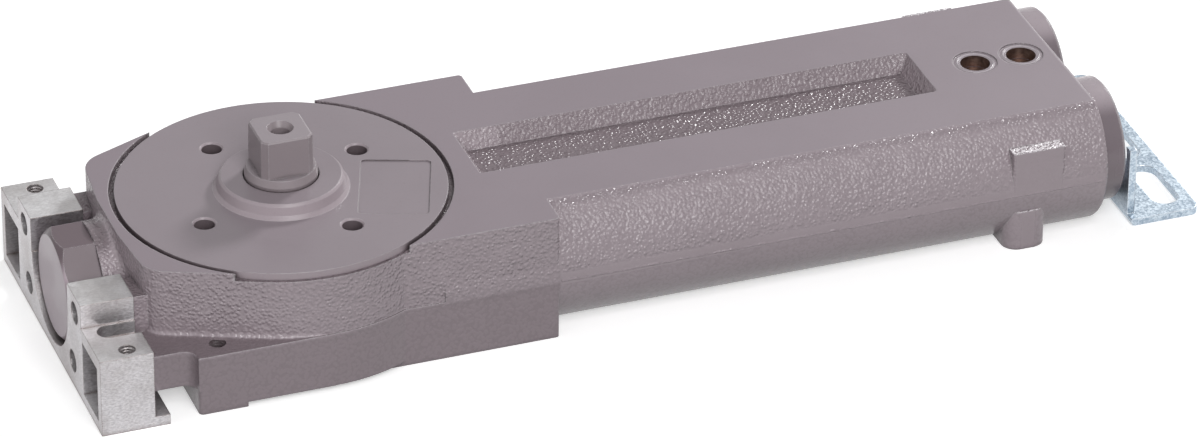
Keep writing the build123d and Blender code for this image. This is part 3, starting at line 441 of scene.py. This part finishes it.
def new_material(name: str) -> tuple[Material, Tree, Node, Socket]:
    """Starts a material.

    Args:
        name: Material name.

    Returns:
        The material, its tree, its Principled BSDF and the Object coordinate socket.
    """
    material = bpy.data.materials.new(name)
    material.use_nodes = True
    material.node_tree.nodes.clear()
    tree = Tree(material.node_tree)
    shader = tree.add("BsdfPrincipled")
    tree.add("OutputMaterial", {"Surface": shader.outputs[0]})
    return material, tree, shader, tree.add("TexCoord").outputs["Object"]


@dataclass(frozen=True)
class CastPaint:
    """Mauve-grey paint over iron: rough on cast skin, smooth on faces machined before painting. The top
    and flank colours, picked by which way a face looks, are painted light and shade.

    The lengths from machined_height on, in metres, tell the painted faces apart: the machined top plane,
    the flange below the parting line, the barrels beyond pad_start with their pads, the label recess
    inside recess_side and the lug ledges outside ledge_side, and the ring of the cover's pin holes.
    """

    name: str
    skin: Skin
    top: Colour = shade(139, 128, 135)
    flank: Colour = shade(160, 148, 154)
    shaded: Colour = shade(122, 110, 115)
    deep: Colour = shade(66, 55, 58)
    wear_and_highlight: Colour = shade(186, 180, 184)
    glint: Colour = shade(236, 231, 235)
    roughness: float = 0.3
    edge_radius: float = 0.5 * MM
    bump_rise: float = 0.2 * MM
    lumps: float = 1450.0
    slope_up: float = 0.75
    machined_height: float = 34.4 * MM
    parting_height: float = 16.4 * MM
    pad_start: float = 61.0 * MM
    recess_side: float = 15.0 * MM
    ledge_side: float = 30.0 * MM
    pin_ring: tuple[float, float] = (21.0 * MM, 34.0 * MM)

    def build(self) -> Material:
        """Builds the material: painted light and shade by slope, edge wear with painted highlights, painted
        shade in the corners, dirt, then the kind of surface.
        """
        material, tree, shader, place = new_material(self.name)
        facing = tree.split(tree.add("NewGeometry").outputs["Normal"])
        dirt = tree.group(EFFECTS.dust, {"Vector": place, "Patch Size": 24.0, "Speck Size": 1500.0})
        edges = tree.group(EFFECTS.edge_wear_and_shade, {"Radius": self.edge_radius})
        # Painted light and shade by slope: faces that look up take the top colour, the others the flank
        # colour.
        upward = tree.ramp(facing[2], self.slope_up, self.slope_up + 0.2)
        tone = tree.tint(opaque(self.flank), self.top, upward)
        tone = tree.tint(tone, self.deep, dirt["Patches"], 0.07)
        # Edge wear with painted highlights on the edges.
        tone = tree.tint(tone, self.wear_and_highlight, edges["Mask"], 0.8)
        if self.skin is Skin.CAST:
            # Painted shade in the corners.
            tone = tree.tint(tone, self.deep, edges["Crevice"], 0.7)
            tone, smooth, machined = self.cast_regions(tree, place, facing, upward, tone)
            tone, gloss, raised = self.cast_surface(tree, place, smooth, tone, edges["Normal"])
            gloss = tree.math("ADD", gloss, tree.times(machined, 0.16))
        else:
            # Painted shade in the corners.
            tone = tree.tint(tone, self.deep, edges["Crevice"], 0.95)
            tone, gloss, raised = self.turned_surface(tree, place, facing, tone, edges["Normal"])
        tone = tree.tint(tone, self.deep, dirt["Specks"], 0.06)
        tree.feed(shader, base_color=tone, roughness=gloss, normal=raised)
        return material

    def cast_regions(
        self, tree: Tree, place: Socket, facing: Outputs, upward: Socket, tone: Socket
    ) -> tuple[Socket, Socket, Socket]:
        """Tells the faces of the casting apart and gives each its tone.

        A face is machined where it looks up at the height of the top plane. Cast faces that look up, the
        flange and the label recess take painted shade, and the level ledges of the lugs take painted glints.

        Args:
            tree: The material's tree.
            place: Object coordinates.
            facing: The three components of the true normal.
            upward: 1 where the face looks up.
            tone: Paint colour so far.

        Returns:
            Colour, mask of the smooth faces and mask of the machined faces.
        """
        along, across, height = tree.split(place)
        across = tree.math("ABSOLUTE", across)
        top_plane = tree.ramp(height, self.machined_height - 0.4 * MM, self.machined_height)
        machined = tree.times(top_plane, upward)
        left_cast = tree.inverse(machined)
        inland = tree.ramp(across, self.recess_side + MM, self.recess_side)
        outboard = tree.ramp(across, self.ledge_side - MM, self.ledge_side)
        beyond = tree.ramp(along, self.pad_start - MM, self.pad_start)
        below = tree.ramp(height, self.parting_height, self.parting_height - MM)
        level = tree.ramp(facing[2], 0.99, 0.998)
        sideways = tree.ramp(tree.math("ABSOLUTE", facing[1]), 0.995, 0.999)

        # Painted shade on the cast faces that look up, on the flange and in the label recess.
        cast_top = tree.times(tree.math("SUBTRACT", upward, machined), 0.9)
        flange = tree.times(below, tree.inverse(beyond), 0.55)
        recess = tree.times(inland, beyond, left_cast, 0.45)
        painted_shade_mask = tree.math("MAXIMUM", cast_top, tree.math("MAXIMUM", flange, recess))
        tone = tree.tint(tone, self.shaded, painted_shade_mask)

        # Painted glints on the level ledges of the lugs: near-white specks.
        painted_glints = tree.ramp(tree.noise(place, 2200.0, 2.0), 0.4, 0.54)
        tone = tree.tint(tone, self.glint, tree.times(outboard, beyond, level, left_cast, painted_glints))

        pads = tree.times(sideways, beyond, tree.inverse(inland), 0.85)
        return tone, tree.math("MAXIMUM", machined, pads), machined

    def cast_surface(
        self, tree: Tree, place: Socket, smooth: Socket, tone: Socket, normal: Socket
    ) -> tuple[Socket, Socket, Socket]:
        """Cast skin, coarse above the parting line and finer below it, left out on smooth faces.

        Args:
            tree: The material's tree.
            place: Object coordinates.
            smooth: 1 where the face is machined or a flat pad.
            tone: Paint colour so far.
            normal: Surface normal with rounded edges.

        Returns:
            Colour, roughness and bent normal.
        """
        height = tree.split(place)[2]
        low, high = self.parting_height - 3.0 * MM, self.parting_height + 4.0 * MM
        above = tree.ramp(height, low, high, 0.22, 1.0)
        rough_part = tree.inverse(smooth)
        skin = tree.group(EFFECTS.cast_skin, {"Vector": place, "Lumps": self.lumps, "Strength": above})
        uneven = tree.ramp(tree.noise(place, 30.0, 2.0), 0.3, 0.7, 0.75, 1.3)
        bumps = tree.times(skin["Height"], uneven, rough_part)
        grit = tree.times(tree.noise(place, 2600.0, 2.0), 0.05)
        raised = tree.bump(tree.math("ADD", bumps, grit), 1.0, self.bump_rise, normal)
        # Painted shade in the hollows between the lumps of the skin.
        tone = tree.tint(tone, self.deep, tree.times(skin["Pits"], rough_part), 0.1)
        return tone, tree.ramp(smooth, 0.0, 1.0, self.roughness - 0.06, self.roughness), raised

    def turned_surface(
        self, tree: Tree, place: Socket, facing: Outputs, tone: Socket, normal: Socket
    ) -> tuple[Socket, Socket, Socket]:
        """Turned or plain face with fine marks, and shade on steep walls in the ring of pin holes.

        Args:
            tree: The material's tree.
            place: Object coordinates.
            facing: The three components of the true normal.
            tone: Paint colour so far.
            normal: Surface normal with rounded edges.

        Returns:
            Colour, roughness and bent normal.
        """
        inner, outer = self.pin_ring
        steep = tree.ramp(facing[2], 0.7, 0.4)
        reach = tree.reach(place)
        outside = tree.ramp(reach, inner - 0.5 * MM, inner)
        inside = tree.ramp(reach, outer + 0.5 * MM, outer)
        tone = tree.tint(tone, self.deep, tree.times(steep, outside, inside), 0.7)
        marks = tree.group(EFFECTS.turning_marks, {"Vector": place, "Marks": 3000.0})
        depth = 0.14 if self.skin is Skin.TURNED else 0.03
        raised = tree.bump(tree.times(marks["Height"], depth), 0.25, self.bump_rise, normal)
        return tone, tree.ramp(marks["Mask"], 0.0, 1.0, self.roughness, self.roughness + 0.08), raised


@dataclass(frozen=True)
class BareMetal:
    """Unpainted metal with fine grain, faint strokes along X, specks and stains, painted light on the tops
    and stain with painted shade in the corners.
    """

    name: str
    light: Colour
    dark: Colour
    stain: Colour
    roughness: float = 0.34
    grain: float = 900.0
    relief: float = 0.1
    bump_rise: float = 0.4 * MM
    edge_radius: float = 0.35 * MM
    stroke: float = 0.5
    stain_amount: float = 0.25
    edge_stain_and_shade: float = 0.0
    painted_top_light: float = 0.0

    def build(self) -> Material:
        """Builds the material: two tones mixed by grain drawn out along X, with stains in slow patches."""
        material, tree, shader, place = new_material(self.name)
        drawn = tree.add("Mapping", {"Vector": place, "Scale": (self.stroke, 1.0, 1.0)})
        fine = tree.noise(drawn.outputs[0], self.grain, 4.0, 0.6)
        facing = tree.split(tree.add("NewGeometry").outputs["Normal"])
        specks = self.grain * 1.7
        dirt = tree.group(EFFECTS.dust, {"Vector": place, "Patch Size": 80.0, "Speck Size": specks})
        edges = tree.group(EFFECTS.edge_wear_and_shade, {"Radius": self.edge_radius})
        tone = tree.tint(opaque(self.dark), self.light, tree.ramp(fine, 0.25, 0.75))
        # Painted light: faces that look up are lightened towards white.
        tone = tree.blend(tree.ramp(facing[2], 0.5, 1.0, 0.0, self.painted_top_light), tone, WHITE)
        tone = tree.tint(tone, self.stain, dirt["Patches"], self.stain_amount)
        tone = tree.tint(tone, self.dark, dirt["Specks"], 0.3)
        tone = tree.tint(tone, self.stain, edges["Mask"], self.edge_stain_and_shade)
        # Stain and painted shade in the corners.
        tone = tree.tint(tone, self.stain, edges["Crevice"], self.edge_stain_and_shade)
        gloss = tree.ramp(fine, 0.2, 0.8, self.roughness - 0.06, self.roughness + 0.1)
        raised = tree.bump(fine, self.relief, self.bump_rise, edges["Normal"])
        tree.feed(shader, base_color=tone, roughness=gloss, normal=raised, metallic=1.0)
        return material


@dataclass(frozen=True)
class ZincPlate:
    """Bluish-white zinc plating with a faint spangle of crystal facets, and painted highlights on its edges.
    """

    name: str
    light: Colour = shade(192, 203, 212)
    dark: Colour = shade(142, 157, 172)
    edge_highlight: Colour = shade(240, 244, 247)
    crystals: float = 2300.0
    edge_radius: float = 0.45 * MM
    bump_rise: float = 0.2 * MM

    def build(self) -> Material:
        """Builds the material: each Voronoi cell takes its own tone and gloss, mixed with a slow haze."""
        material, tree, shader, place = new_material(self.name)
        cells = tree.add("TexVoronoi", {"Vector": place, "Scale": self.crystals, "Randomness": 1.0})
        facet = tree.split(cells.outputs["Color"])[0]
        haze = tree.noise(place, 260.0, 3.0)
        mix = tree.math("ADD", tree.times(facet, 0.5), tree.times(haze, 0.5))
        edges = tree.group(EFFECTS.edge_wear_and_shade, {"Radius": self.edge_radius})
        tone = tree.tint(opaque(self.dark), self.light, tree.ramp(mix, 0.2, 0.8))
        # Painted highlights on the edges.
        tone = tree.tint(tone, self.edge_highlight, edges["Mask"], 0.8)
        gloss = tree.ramp(facet, 0.0, 1.0, 0.32, 0.42)
        raised = tree.bump(mix, 0.05, self.bump_rise, edges["Normal"])
        tree.feed(shader, base_color=tone, roughness=gloss, normal=raised, metallic=1.0)
        return material


@dataclass(frozen=True)
class Rubber:
    """Black nitrile rubber with a fine moulded grain."""

    name: str
    body: Colour = shade(22, 22, 24)
    dusty: Colour = shade(52, 50, 50)

    def build(self) -> Material:
        """Builds the material: near black, a little lighter where dust clings."""
        material, tree, shader, place = new_material(self.name)
        dirt = tree.group(EFFECTS.dust, {"Vector": place, "Patch Size": 120.0, "Speck Size": 2000.0})
        tone = tree.tint(opaque(self.body), self.dusty, dirt["Patches"], 0.3)
        gloss = tree.ramp(dirt["Patches"], 0.0, 1.0, 0.55, 0.75)
        raised = tree.bump(dirt["Specks"], 0.1, 0.1 * MM, None)
        tree.feed(shader, base_color=tone, roughness=gloss, normal=raised)
        return material


# Assemblies


def dress(frame: dict, node: str, material: Material) -> None:
    """Gives a CAD node its finish."""
    piece = frame["nodes"][node]
    piece.data.materials.clear()
    piece.data.materials.append(material)
    LOG.info("dressed %s with %s", node, material.name)


def mount(piece: Thing, body: str, material: Material) -> Thing:
    """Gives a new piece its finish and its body.

    Args:
        piece: The new object.
        body: CAD body it rides on.
        material: Finish.

    Returns:
        The same object.
    """
    piece.data.materials.append(material)
    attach(piece, body)
    LOG.info("built %s on %s", piece.name, body)
    return piece


@dataclass
class Housing:
    """The cast body, its casting lines and the threads of its fixing holes. Sizes are in millimetres."""

    parting_height: float = 16.4
    top_height: float = 34.5
    head_radius: float = 42.55
    flat: float = 38.1
    shoulder_end: float = 60.5
    body_end: float = 208.6
    thread_x: float = -28.7
    thread_y: float = 37.3
    thread_radius: float = 2.1
    thread_depth: float = 9.8
    thread_pitch: float = 0.8
    nose_face_x: float = -45.3
    nose_half_width: float = 9.0
    nose_corner_x: float = -43.6
    nose_corner_y: float = 27.8
    nose_corner_radius: float = 8.0
    nose_face_run: float = 3.0
    flange_edge: float = 42.85
    fillet_radius: float = 1.3
    neck_fillet_radius: float = 2.2
    neck_radius: float = 14.6
    neck_height: float = 17.6
    wander: float = 0.12
    flash_height: float = 0.16
    flash_half_width: float = 0.55

    def dress(self, frame: dict) -> None:
        """Paints the casting and the plugs screwed into it."""
        paint = CastPaint("housing_cast_paint", Skin.CAST).build()
        dress(frame, "housing", paint)
        self.neck_fillet(paint)
        # Painted light on the spring plugs: a light top as a painted highlight over darker flanks in painted
        # shade.
        plug_paint = CastPaint(
            "plug_paint",
            Skin.SMOOTH,
            top=shade(160, 149, 155),
            flank=shade(120, 109, 115),
            roughness=0.22,
        ).build()
        # Painted shade: the flange threads take a dark colour for the shade inside their holes.
        in_shade = shade(92, 80, 84)
        painted_thread_shade = CastPaint("painted_thread_shade", Skin.SMOOTH, top=in_shade, flank=in_shade).build()
        for node in ("spring_plug_near", "spring_plug_far"):
            dress(frame, node, plug_paint)
        # Painted shade on the end plug's flats that look up, and painted light on its side faces.
        end_paint = CastPaint(
            "end_plug_paint",
            Skin.SMOOTH,
            top=shade(104, 90, 96),
            flank=shade(184, 167, 177),
            slope_up=0.4,
        ).build()
        dress(frame, "end_plug", end_paint)
        for side in Side:
            self.flash_line(side, paint)
            self.wall_fillet(side, paint)
            self.thread(side, painted_thread_shade)

    def wall_line(self) -> tuple[Grid, Grid]:
        """Foot of the head's wall above the flange, on the far side, from the nose to the spindle's line.

        It is the nose face, the arc of the nose corner, the tangent from that corner to the head's circle,
        and the circle itself.

        Returns:
            Points and outward directions, each of shape (stations, 2).
        """
        corner = np.array([self.nose_corner_x, self.nose_corner_y])
        touch = atan2(*corner[::-1]) - acos(self.head_radius / hypot(*corner))
        heel = self.head_radius * np.array([cos(touch), sin(touch)])
        face = corner - np.array([self.nose_face_x, self.nose_half_width])
        first = atan2(*face[::-1]) + pi / 2
        trim = self.nose_corner_radius * tan((first - touch) / 2)
        arc_start = corner - trim * face / hypot(*face)
        arc_end = corner + trim * (heel - corner) / hypot(*(heel - corner))
        bend = np.linspace(first, touch, 14)
        centre = arc_start - self.nose_corner_radius * np.array([cos(first), sin(first)])
        sweep = np.linspace(touch, radians(93), 40)
        run = np.linspace(0, 1, 60)[1:-1, None]
        lead = np.linspace(0, 1, 6)[:-1, None]
        pieces = [
            arc_start - (1 - lead) * self.nose_face_run * face / hypot(*face),
            centre + self.nose_corner_radius * np.stack([np.cos(bend), np.sin(bend)], axis=-1),
            arc_end + run * (heel - arc_end),
            self.head_radius * np.stack([np.cos(sweep), np.sin(sweep)], axis=-1),
        ]
        angles = np.concatenate([np.full(len(lead), first), bend, np.full(len(run), touch), sweep])
        return np.concatenate(pieces), np.stack([np.cos(angles), np.sin(angles)], axis=-1)

    def wall_fillet(self, side: Side, paint: Material) -> None:
        """Cast fillet at the foot of the head's wall, which runs out where the flange ends beside it."""
        foot, outward = self.wall_line()
        room = (self.flange_edge - foot[:, 1]) / outward[:, 1].clip(0.3)
        wander = 1 + self.wander * wave_noise(np.arange(len(foot)) * 0.2, np.zeros(len(foot)), 31)
        radius = np.minimum(self.fillet_radius * wander, 0.9 * room).clip(0.05)
        out, rise = concave_section(radius, 5 + side.value)
        points = stacked(
            foot[:, :1] + outward[:, :1] * out,
            side.value * np.minimum(foot[:, 1:] + outward[:, 1:] * out, self.flange_edge),
            self.parting_height + rise,
        )
        if side is Side.FAR:
            points = points[:, ::-1]
        mount(grid_mesh(f"wall_fillet_{side.name.lower()}", points), "case", paint)

    def neck_fillet(self, paint: Material) -> None:
        """Cast fillet where the upper half of the neck runs out into the nose face."""
        turn = np.linspace(0.02, pi - 0.02, 110)
        wander = 1 + self.wander * wave_noise(turn * 9, 0 * turn, 17)
        out, rise = concave_section(self.neck_fillet_radius * wander, 41)
        reach = self.neck_radius + out
        across = reach * np.cos(turn)[:, None]
        sweep = (self.nose_corner_x - self.nose_face_x) / (self.nose_corner_y - self.nose_half_width)
        face = self.nose_face_x + sweep * (np.abs(across) - self.nose_half_width).clip(0)
        height = np.minimum(self.neck_height + reach * np.sin(turn)[:, None], self.top_height)
        points = stacked(face - rise, across, height)[:, ::-1]
        mount(grid_mesh("neck_fillet", points), "case", paint)

    def flash_line(self, side: Side, paint: Material) -> None:
        """Casting flash along the parting line of a barrel: a thin ridge whose height wanders."""
        sunk, end_gap = 0.06, 0.4
        along = np.linspace(self.shoulder_end + end_gap, self.body_end, 420)[:, None]
        across = np.linspace(-1, 1, 9)[None, :]
        wander = wave_noise(along * 0.9, 0 * across, 7 + side.value)
        proud = (self.flash_height + 0.1 * wander) * np.cos(across * pi / 2) ** 2
        width = self.flash_half_width + 0.15 * wave_noise(along * 0.5, 0 * across, 21)
        height = self.parting_height + self.wander * wander + across * width
        points = stacked(along, side.value * (self.flat - sunk + proud), height)
        if side is Side.NEAR:
            points = points[:, ::-1]
        mount(grid_mesh(f"flash_line_{side.name.lower()}", points), "case", paint)

    def thread(self, side: Side, paint: Material) -> None:
        """M5 thread in the flange hole of one side."""
        sunk = 0.1
        mouth = (self.thread_x, side.value * self.thread_y, self.parting_height - sunk)
        name = f"flange_thread_{side.name.lower()}"
        piece = internal_thread(name, mouth, self.thread_radius, self.thread_depth, self.thread_pitch)
        mount(piece, "case", paint)


@dataclass
class Head:
    """The cover disc and the spindle with the thread of its arm screw. Sizes are in millimetres."""

    spindle_top: float = 51.5
    spindle_mouth: float = 3.2
    thread_radius: float = 2.5
    thread_depth: float = 10.6
    thread_pitch: float = 1.0

    def dress(self, frame: dict) -> None:
        """Finishes the disc and the spindle, and cuts the thread."""
        turned = CastPaint(
            "cover_turned_paint",
            Skin.TURNED,
            top=shade(143, 133, 139),
            edge_radius=0.35 * MM,
        ).build()
        dress(frame, "cover_disc", turned)
        # Painted light and shade: the spindle's faces that look up are lighter than its flanks.
        phosphate = CastPaint(
            "spindle_phosphate",
            Skin.SMOOTH,
            top=shade(150, 141, 146),
            flank=shade(142, 132, 136),
            roughness=0.34,
            edge_radius=0.3 * MM,
        ).build()
        dress(frame, "spindle", phosphate)
        mouth = (0.0, 0.0, self.spindle_top - self.spindle_mouth)
        sizes = (self.thread_radius, self.thread_depth, self.thread_pitch)
        piece = internal_thread("spindle_thread", mouth, *sizes)
        mount(piece, "spindle_group", phosphate)


@dataclass
class Brackets:
    """The aluminium end bracket and the plated slotted bracket. Sizes are in millimetres."""

    thread_x: float = -52.7
    thread_y: float = 40.5
    thread_z: float = 21.35
    thread_radius: float = 2.1
    thread_depth: float = 3.4
    thread_pitch: float = 0.8

    def dress(self, frame: dict) -> None:
        """Finishes both brackets and cuts the threads in the posts."""
        aluminium = BareMetal(
            "bracket_aluminium",
            light=shade(212, 210, 212),
            dark=shade(168, 165, 168),
            stain=shade(112, 98, 92),
            roughness=0.42,
            grain=2200.0,
            relief=0.22,
            stain_amount=0.34,
            # Stain with painted shade at edges and corners, and painted light on the tops.
            edge_stain_and_shade=0.85,
            painted_top_light=0.4,
        ).build()
        dress(frame, "end_bracket", aluminium)
        for side in Side:
            mouth = (self.thread_x, side.value * self.thread_y, self.thread_z)
            sizes = (self.thread_radius, self.thread_depth, self.thread_pitch)
            piece = internal_thread(f"post_thread_{side.name.lower()}", mouth, *sizes)
            mount(piece, "case", aluminium)
        zinc = ZincPlate("zinc_plate").build()
        dress(frame, "slotted_bracket", zinc)
        dress(frame, "slotted_bracket_screw", zinc)


@dataclass
class ClosingSprings:
    """The two square-wire springs, which shorten as the carriage pushes their seats. Sizes in millimetres."""

    start_x: float = 39.05
    end_x: float = 202.95
    spread: float = 19.2
    height: float = 17.6
    mean_radius: float = 10.9
    wire: float = 3.8
    turns: int = 12
    dead_turns: float = 1.0
    dead_pitch: float = 3.9
    corner: float = 0.86

    def build(self, frame: dict, finish: Material) -> None:
        """Builds both springs in place of their plain solids."""
        for side in Side:
            coil = mount(self.coil(side), "case", finish)
            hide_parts(f"closing_spring_{side.name.lower()}")
            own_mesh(coil)

    def coil(self, side: Side) -> Thing:
        """One spring: a square section with blunt corners, carried along a helix about the barrel's axis.

        The helix climbs by dead_pitch a turn over the first and last turns, which lie closed against the
        seat and the plug, and between them by whatever even pitch fills the length. The section shrinks to
        a point at both ends.
        """
        steps_per_turn, easing = 36, 0.5
        turn = np.linspace(0, self.turns, self.turns * steps_per_turn + 1)
        inward = np.minimum(turn, self.turns - turn)
        open_share = np.clip((inward - self.dead_turns) / easing + 0.5, 0, 1)
        steps = (open_share[1:] + open_share[:-1]) / 2 * np.diff(turn)
        climb = np.concatenate([[0], np.cumsum(steps)])
        room = self.end_x - self.start_x - self.wire
        slope = (room - self.dead_pitch * (self.turns - climb[-1])) / climb[-1]
        middle = self.start_x + self.wire / 2 + self.dead_pitch * (turn - climb) + slope * climb
        size = np.full(len(turn), self.wire / 2)
        size[[0, -1]] = 0
        blunt = self.corner
        outward = np.array([1, 1, blunt, -blunt, -1, -1, -blunt, blunt])
        forward = np.array([-blunt, blunt, 1, 1, blunt, -blunt, -1, -1])
        reach = self.mean_radius + size[:, None] * outward
        angle = 2 * pi * turn[:, None]
        points = stacked(
            middle[:, None] + size[:, None] * forward,
            side.value * self.spread + reach * np.cos(angle),
            self.height + reach * np.sin(angle),
        )
        piece = grid_mesh(f"closing_coil_{side.name.lower()}", points, close_v=True)
        shell = bmesh.new()
        shell.from_mesh(piece.data)
        bmesh.ops.remove_doubles(shell, verts=shell.verts, dist=0.001 * MM)
        shell.to_mesh(piece.data)
        shell.free()
        return piece


@dataclass
class Mechanism:
    """The working parts inside the casting, and the two valve bores. Sizes are in millimetres."""

    steel_nodes: tuple[str, ...] = (
        "cam_key",
        "drive_cam",
        "carriage_plate_lower",
        "carriage_plate_upper",
        "drive_roller_pin",
        "piston_roller_pin",
        "rod_pins",
        "push_rod_near",
        "push_rod_far",
        "spring_seat_near",
        "spring_seat_far",
        "damping_piston",
    )
    bearing_nodes: tuple[str, ...] = (
        "lower_bearing",
        "upper_bearing",
        "drive_roller",
        "piston_roller",
        "check_ball",
        "check_ball_retainer",
    )
    spring_nodes: tuple[str, ...] = ("closing_spring_near", "closing_spring_far", "bracket_pins")
    seal_nodes: tuple[str, ...] = (
        "cover_seal",
        "spindle_seal",
        "spring_plug_seal_near",
        "spring_plug_seal_far",
        "end_plug_seal",
        "closing_valve_seal",
        "latching_valve_seal",
    )
    brass_nodes: tuple[str, ...] = ("closing_valve_screw", "latching_valve_screw")
    valve_places: tuple[float, ...] = (187.9, 200.7)
    valve_mouth: float = 34.3
    valve_radius: float = 3.9
    valve_wall_depth: float = 3.1
    skin_gap: float = 0.03
    lip_height: float = 0.3
    lip_radius: float = 4.75
    lip_width: float = 0.22
    lip_reach: float = 5.2

    def dress(self, frame: dict) -> None:
        """Finishes every inner piece by its kind, and adds the springs and the valve bores."""
        steel = BareMetal(
            "ground_steel",
            light=shade(150, 148, 150),
            dark=shade(110, 108, 110),
            stain=shade(92, 84, 78),
        ).build()
        bearing = BareMetal(
            "bearing_steel",
            light=shade(178, 178, 180),
            dark=shade(140, 140, 142),
            stain=shade(120, 116, 112),
            roughness=0.24,
        ).build()
        spring = BareMetal(
            "spring_steel",
            light=shade(72, 70, 72),
            dark=shade(44, 42, 44),
            stain=shade(60, 46, 38),
            roughness=0.38,
        ).build()
        brass = BareMetal(
            "valve_brass",
            light=shade(152, 131, 121),
            dark=shade(108, 90, 84),
            stain=shade(88, 73, 68),
            roughness=0.46,
        ).build()
        finishes = (
            (self.steel_nodes, steel),
            (self.bearing_nodes, bearing),
            (self.spring_nodes, spring),
            (self.seal_nodes, Rubber("seal_rubber").build()),
            (self.brass_nodes, brass),
        )
        for nodes, material in finishes:
            for node in nodes:
                dress(frame, node, material)
        ClosingSprings().build(frame, spring)
        # Painted highlight: the lip's flanks take a lighter colour than its top.
        rim_paint = CastPaint(
            "valve_rim_paint",
            Skin.SMOOTH,
            top=shade(150, 140, 146),
            flank=shade(186, 179, 184),
            roughness=0.22,
            edge_radius=0.1 * MM,
        ).build()
        for number, along in enumerate(self.valve_places, 1):
            mouth = (along, 0.0, self.valve_mouth)
            self.bore_wall(number, mouth, brass)
            self.bore_rim(number, mouth, rim_paint)

    def bore_wall(self, number: int, mouth: Point, finish: Material) -> None:
        """Bare brown wall of a valve bore, from its mouth down to the screw."""
        down = np.linspace(0, self.valve_wall_depth, 6)[None, :]
        reach = self.valve_radius - self.skin_gap
        points = revolved(mouth, full_turn(48), reach, mouth[2] - down)
        mount(grid_mesh(f"valve_wall_{number}", points, close_u=True), "case", finish)

    def bore_rim(self, number: int, mouth: Point, paint: Material) -> None:
        """Raised lip round a valve bore: a bell curve of the distance from the bore's axis."""
        reach = np.linspace(self.lip_reach, self.valve_radius - self.skin_gap, 14)[None, :]
        bell = np.exp(-(((reach - self.lip_radius) / self.lip_width) ** 2))
        height = mouth[2] - self.skin_gap + self.lip_height * bell
        points = revolved(mouth, full_turn(64), reach, height)
        mount(grid_mesh(f"valve_rim_{number}", points, close_u=True), "case", paint)


# Studio


def seen_only(tree: Tree, plain: float, seen: float) -> Socket:
    """A strength that goes from plain to seen for what the camera and mirror-like surfaces look at."""
    path = tree.add("LightPath").outputs
    looked_at = tree.math("MAXIMUM", path["Is Camera Ray"], path["Is Glossy Ray"])
    return tree.math("ADD", plain, tree.times(looked_at, seen - plain))


@dataclass(frozen=True)
class SoftBox:
    """A square soft light, with its places in metres and its power in watts."""

    name: str
    place: Point
    target: Point
    size: float
    power: float

    def build(self) -> None:
        """Hangs the light and turns it to its target."""
        lamp = bpy.data.lights.new(self.name, "AREA")
        lamp.shape = "SQUARE"
        lamp.size = self.size
        lamp.energy = self.power
        aim = Vector(self.target) - Vector(self.place)
        turned = aim.to_track_quat("-Z", "Y").to_matrix().to_4x4()
        add_object(self.name, lamp).matrix_world = Matrix.Translation(self.place) @ turned


@dataclass
class Studio:
    """Pale floor, soft lights and the camera. Lengths are in millimetres and angles in degrees."""

    camera_place: Point = (-433.3, -1396.7, 908.5)
    azimuth: float = -20.36
    elevation: float = 31.15
    roll: float = 0.52
    lens: float = 204.3
    film_width: float = 36.0
    floor_reach: float = 3000.0
    floor_height: float = -0.02
    boxes: tuple[SoftBox, ...] = (
        SoftBox("key", (1.15, 0.8, 0.85), (0.08, 0.0, 0.0), 0.25, 15.0),
        SoftBox("overhead", (0.15, -0.9, 1.4), (0.08, 0.0, 0.0), 0.6, 6.0),
        SoftBox("front", (-0.1, -1.5, 1.0), (0.08, 0.0, 0.0), 0.8, 15.0),
        SoftBox("left", (-1.5, -0.5, 0.6), (0.0, 0.0, 0.0), 1.2, 4.5),
    )

    def build(self) -> None:
        """Sets the stage: floor, lights, pale surround and camera."""
        self.floor()
        for box in self.boxes:
            box.build()
        self.world()
        self.camera()
        bpy.context.scene.view_settings.view_transform = "Standard"

    def floor(self) -> None:
        """A broad pale floor that shows white to the camera."""
        edge = np.linspace(-self.floor_reach, self.floor_reach, 3)
        floor = grid_mesh("floor", stacked(edge[:, None], edge[None, :], self.floor_height))
        material = bpy.data.materials.new("pale_floor")
        material.use_nodes = True
        material.node_tree.nodes.clear()
        tree = Tree(material.node_tree)
        cover = seen_only(tree, 0.2, 0.9)
        tone = tree.add("CombineColor", {0: cover, 1: cover, 2: cover})
        matte = tree.add("BsdfDiffuse", {"Color": tone.outputs[0]})
        glow = tree.add("Emission", {"Color": WHITE, "Strength": seen_only(tree, 0.0, 0.4)})
        both = tree.add("AddShader", {0: matte.outputs[0], 1: glow.outputs[0]})
        tree.add("OutputMaterial", {"Surface": both.outputs[0]})
        floor.data.materials.append(material)

    def world(self) -> None:
        """An even pale surround."""
        world = bpy.data.worlds.new("surround")
        world.use_nodes = True
        tree = Tree(world.node_tree)
        backdrop = world.node_tree.nodes["Background"]
        tree.feed(backdrop, color=WHITE, strength=seen_only(tree, 0.22, 0.7))
        bpy.context.scene.world = world

    def camera(self) -> None:
        """Camera on the measured line of sight, turned by the measured roll."""
        turn, lift, tilt = radians(self.azimuth), radians(self.elevation), radians(self.roll)
        back = Vector((sin(turn) * cos(lift), -cos(turn) * cos(lift), sin(lift)))
        right = Vector((cos(turn), sin(turn), 0.0))
        up = back.cross(right)
        level_right = cos(tilt) * right + sin(tilt) * up
        level_up = -sin(tilt) * right + cos(tilt) * up
        pose = Matrix((level_right, level_up, back)).transposed().to_4x4()
        pose.translation = Vector(self.camera_place) * MM
        lens = bpy.data.cameras.new("camera")
        lens.lens = self.lens
        lens.sensor_width = self.film_width
        lens.clip_end = 20.0
        piece = add_object("camera", lens)
        piece.matrix_world = pose
        bpy.context.scene.camera = piece


def main() -> None:
    """Builds the dressed part and its studio."""
    logging.basicConfig(level=logging.INFO, format="%(name)s %(message)s")
    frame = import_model()
    for assembly in (Housing(), Head(), Brackets(), Mechanism()):
        assembly.dress(frame)
        LOG.info("finished %s", type(assembly).__name__)
    Studio().build()


if __name__ == "__main__":
    main()
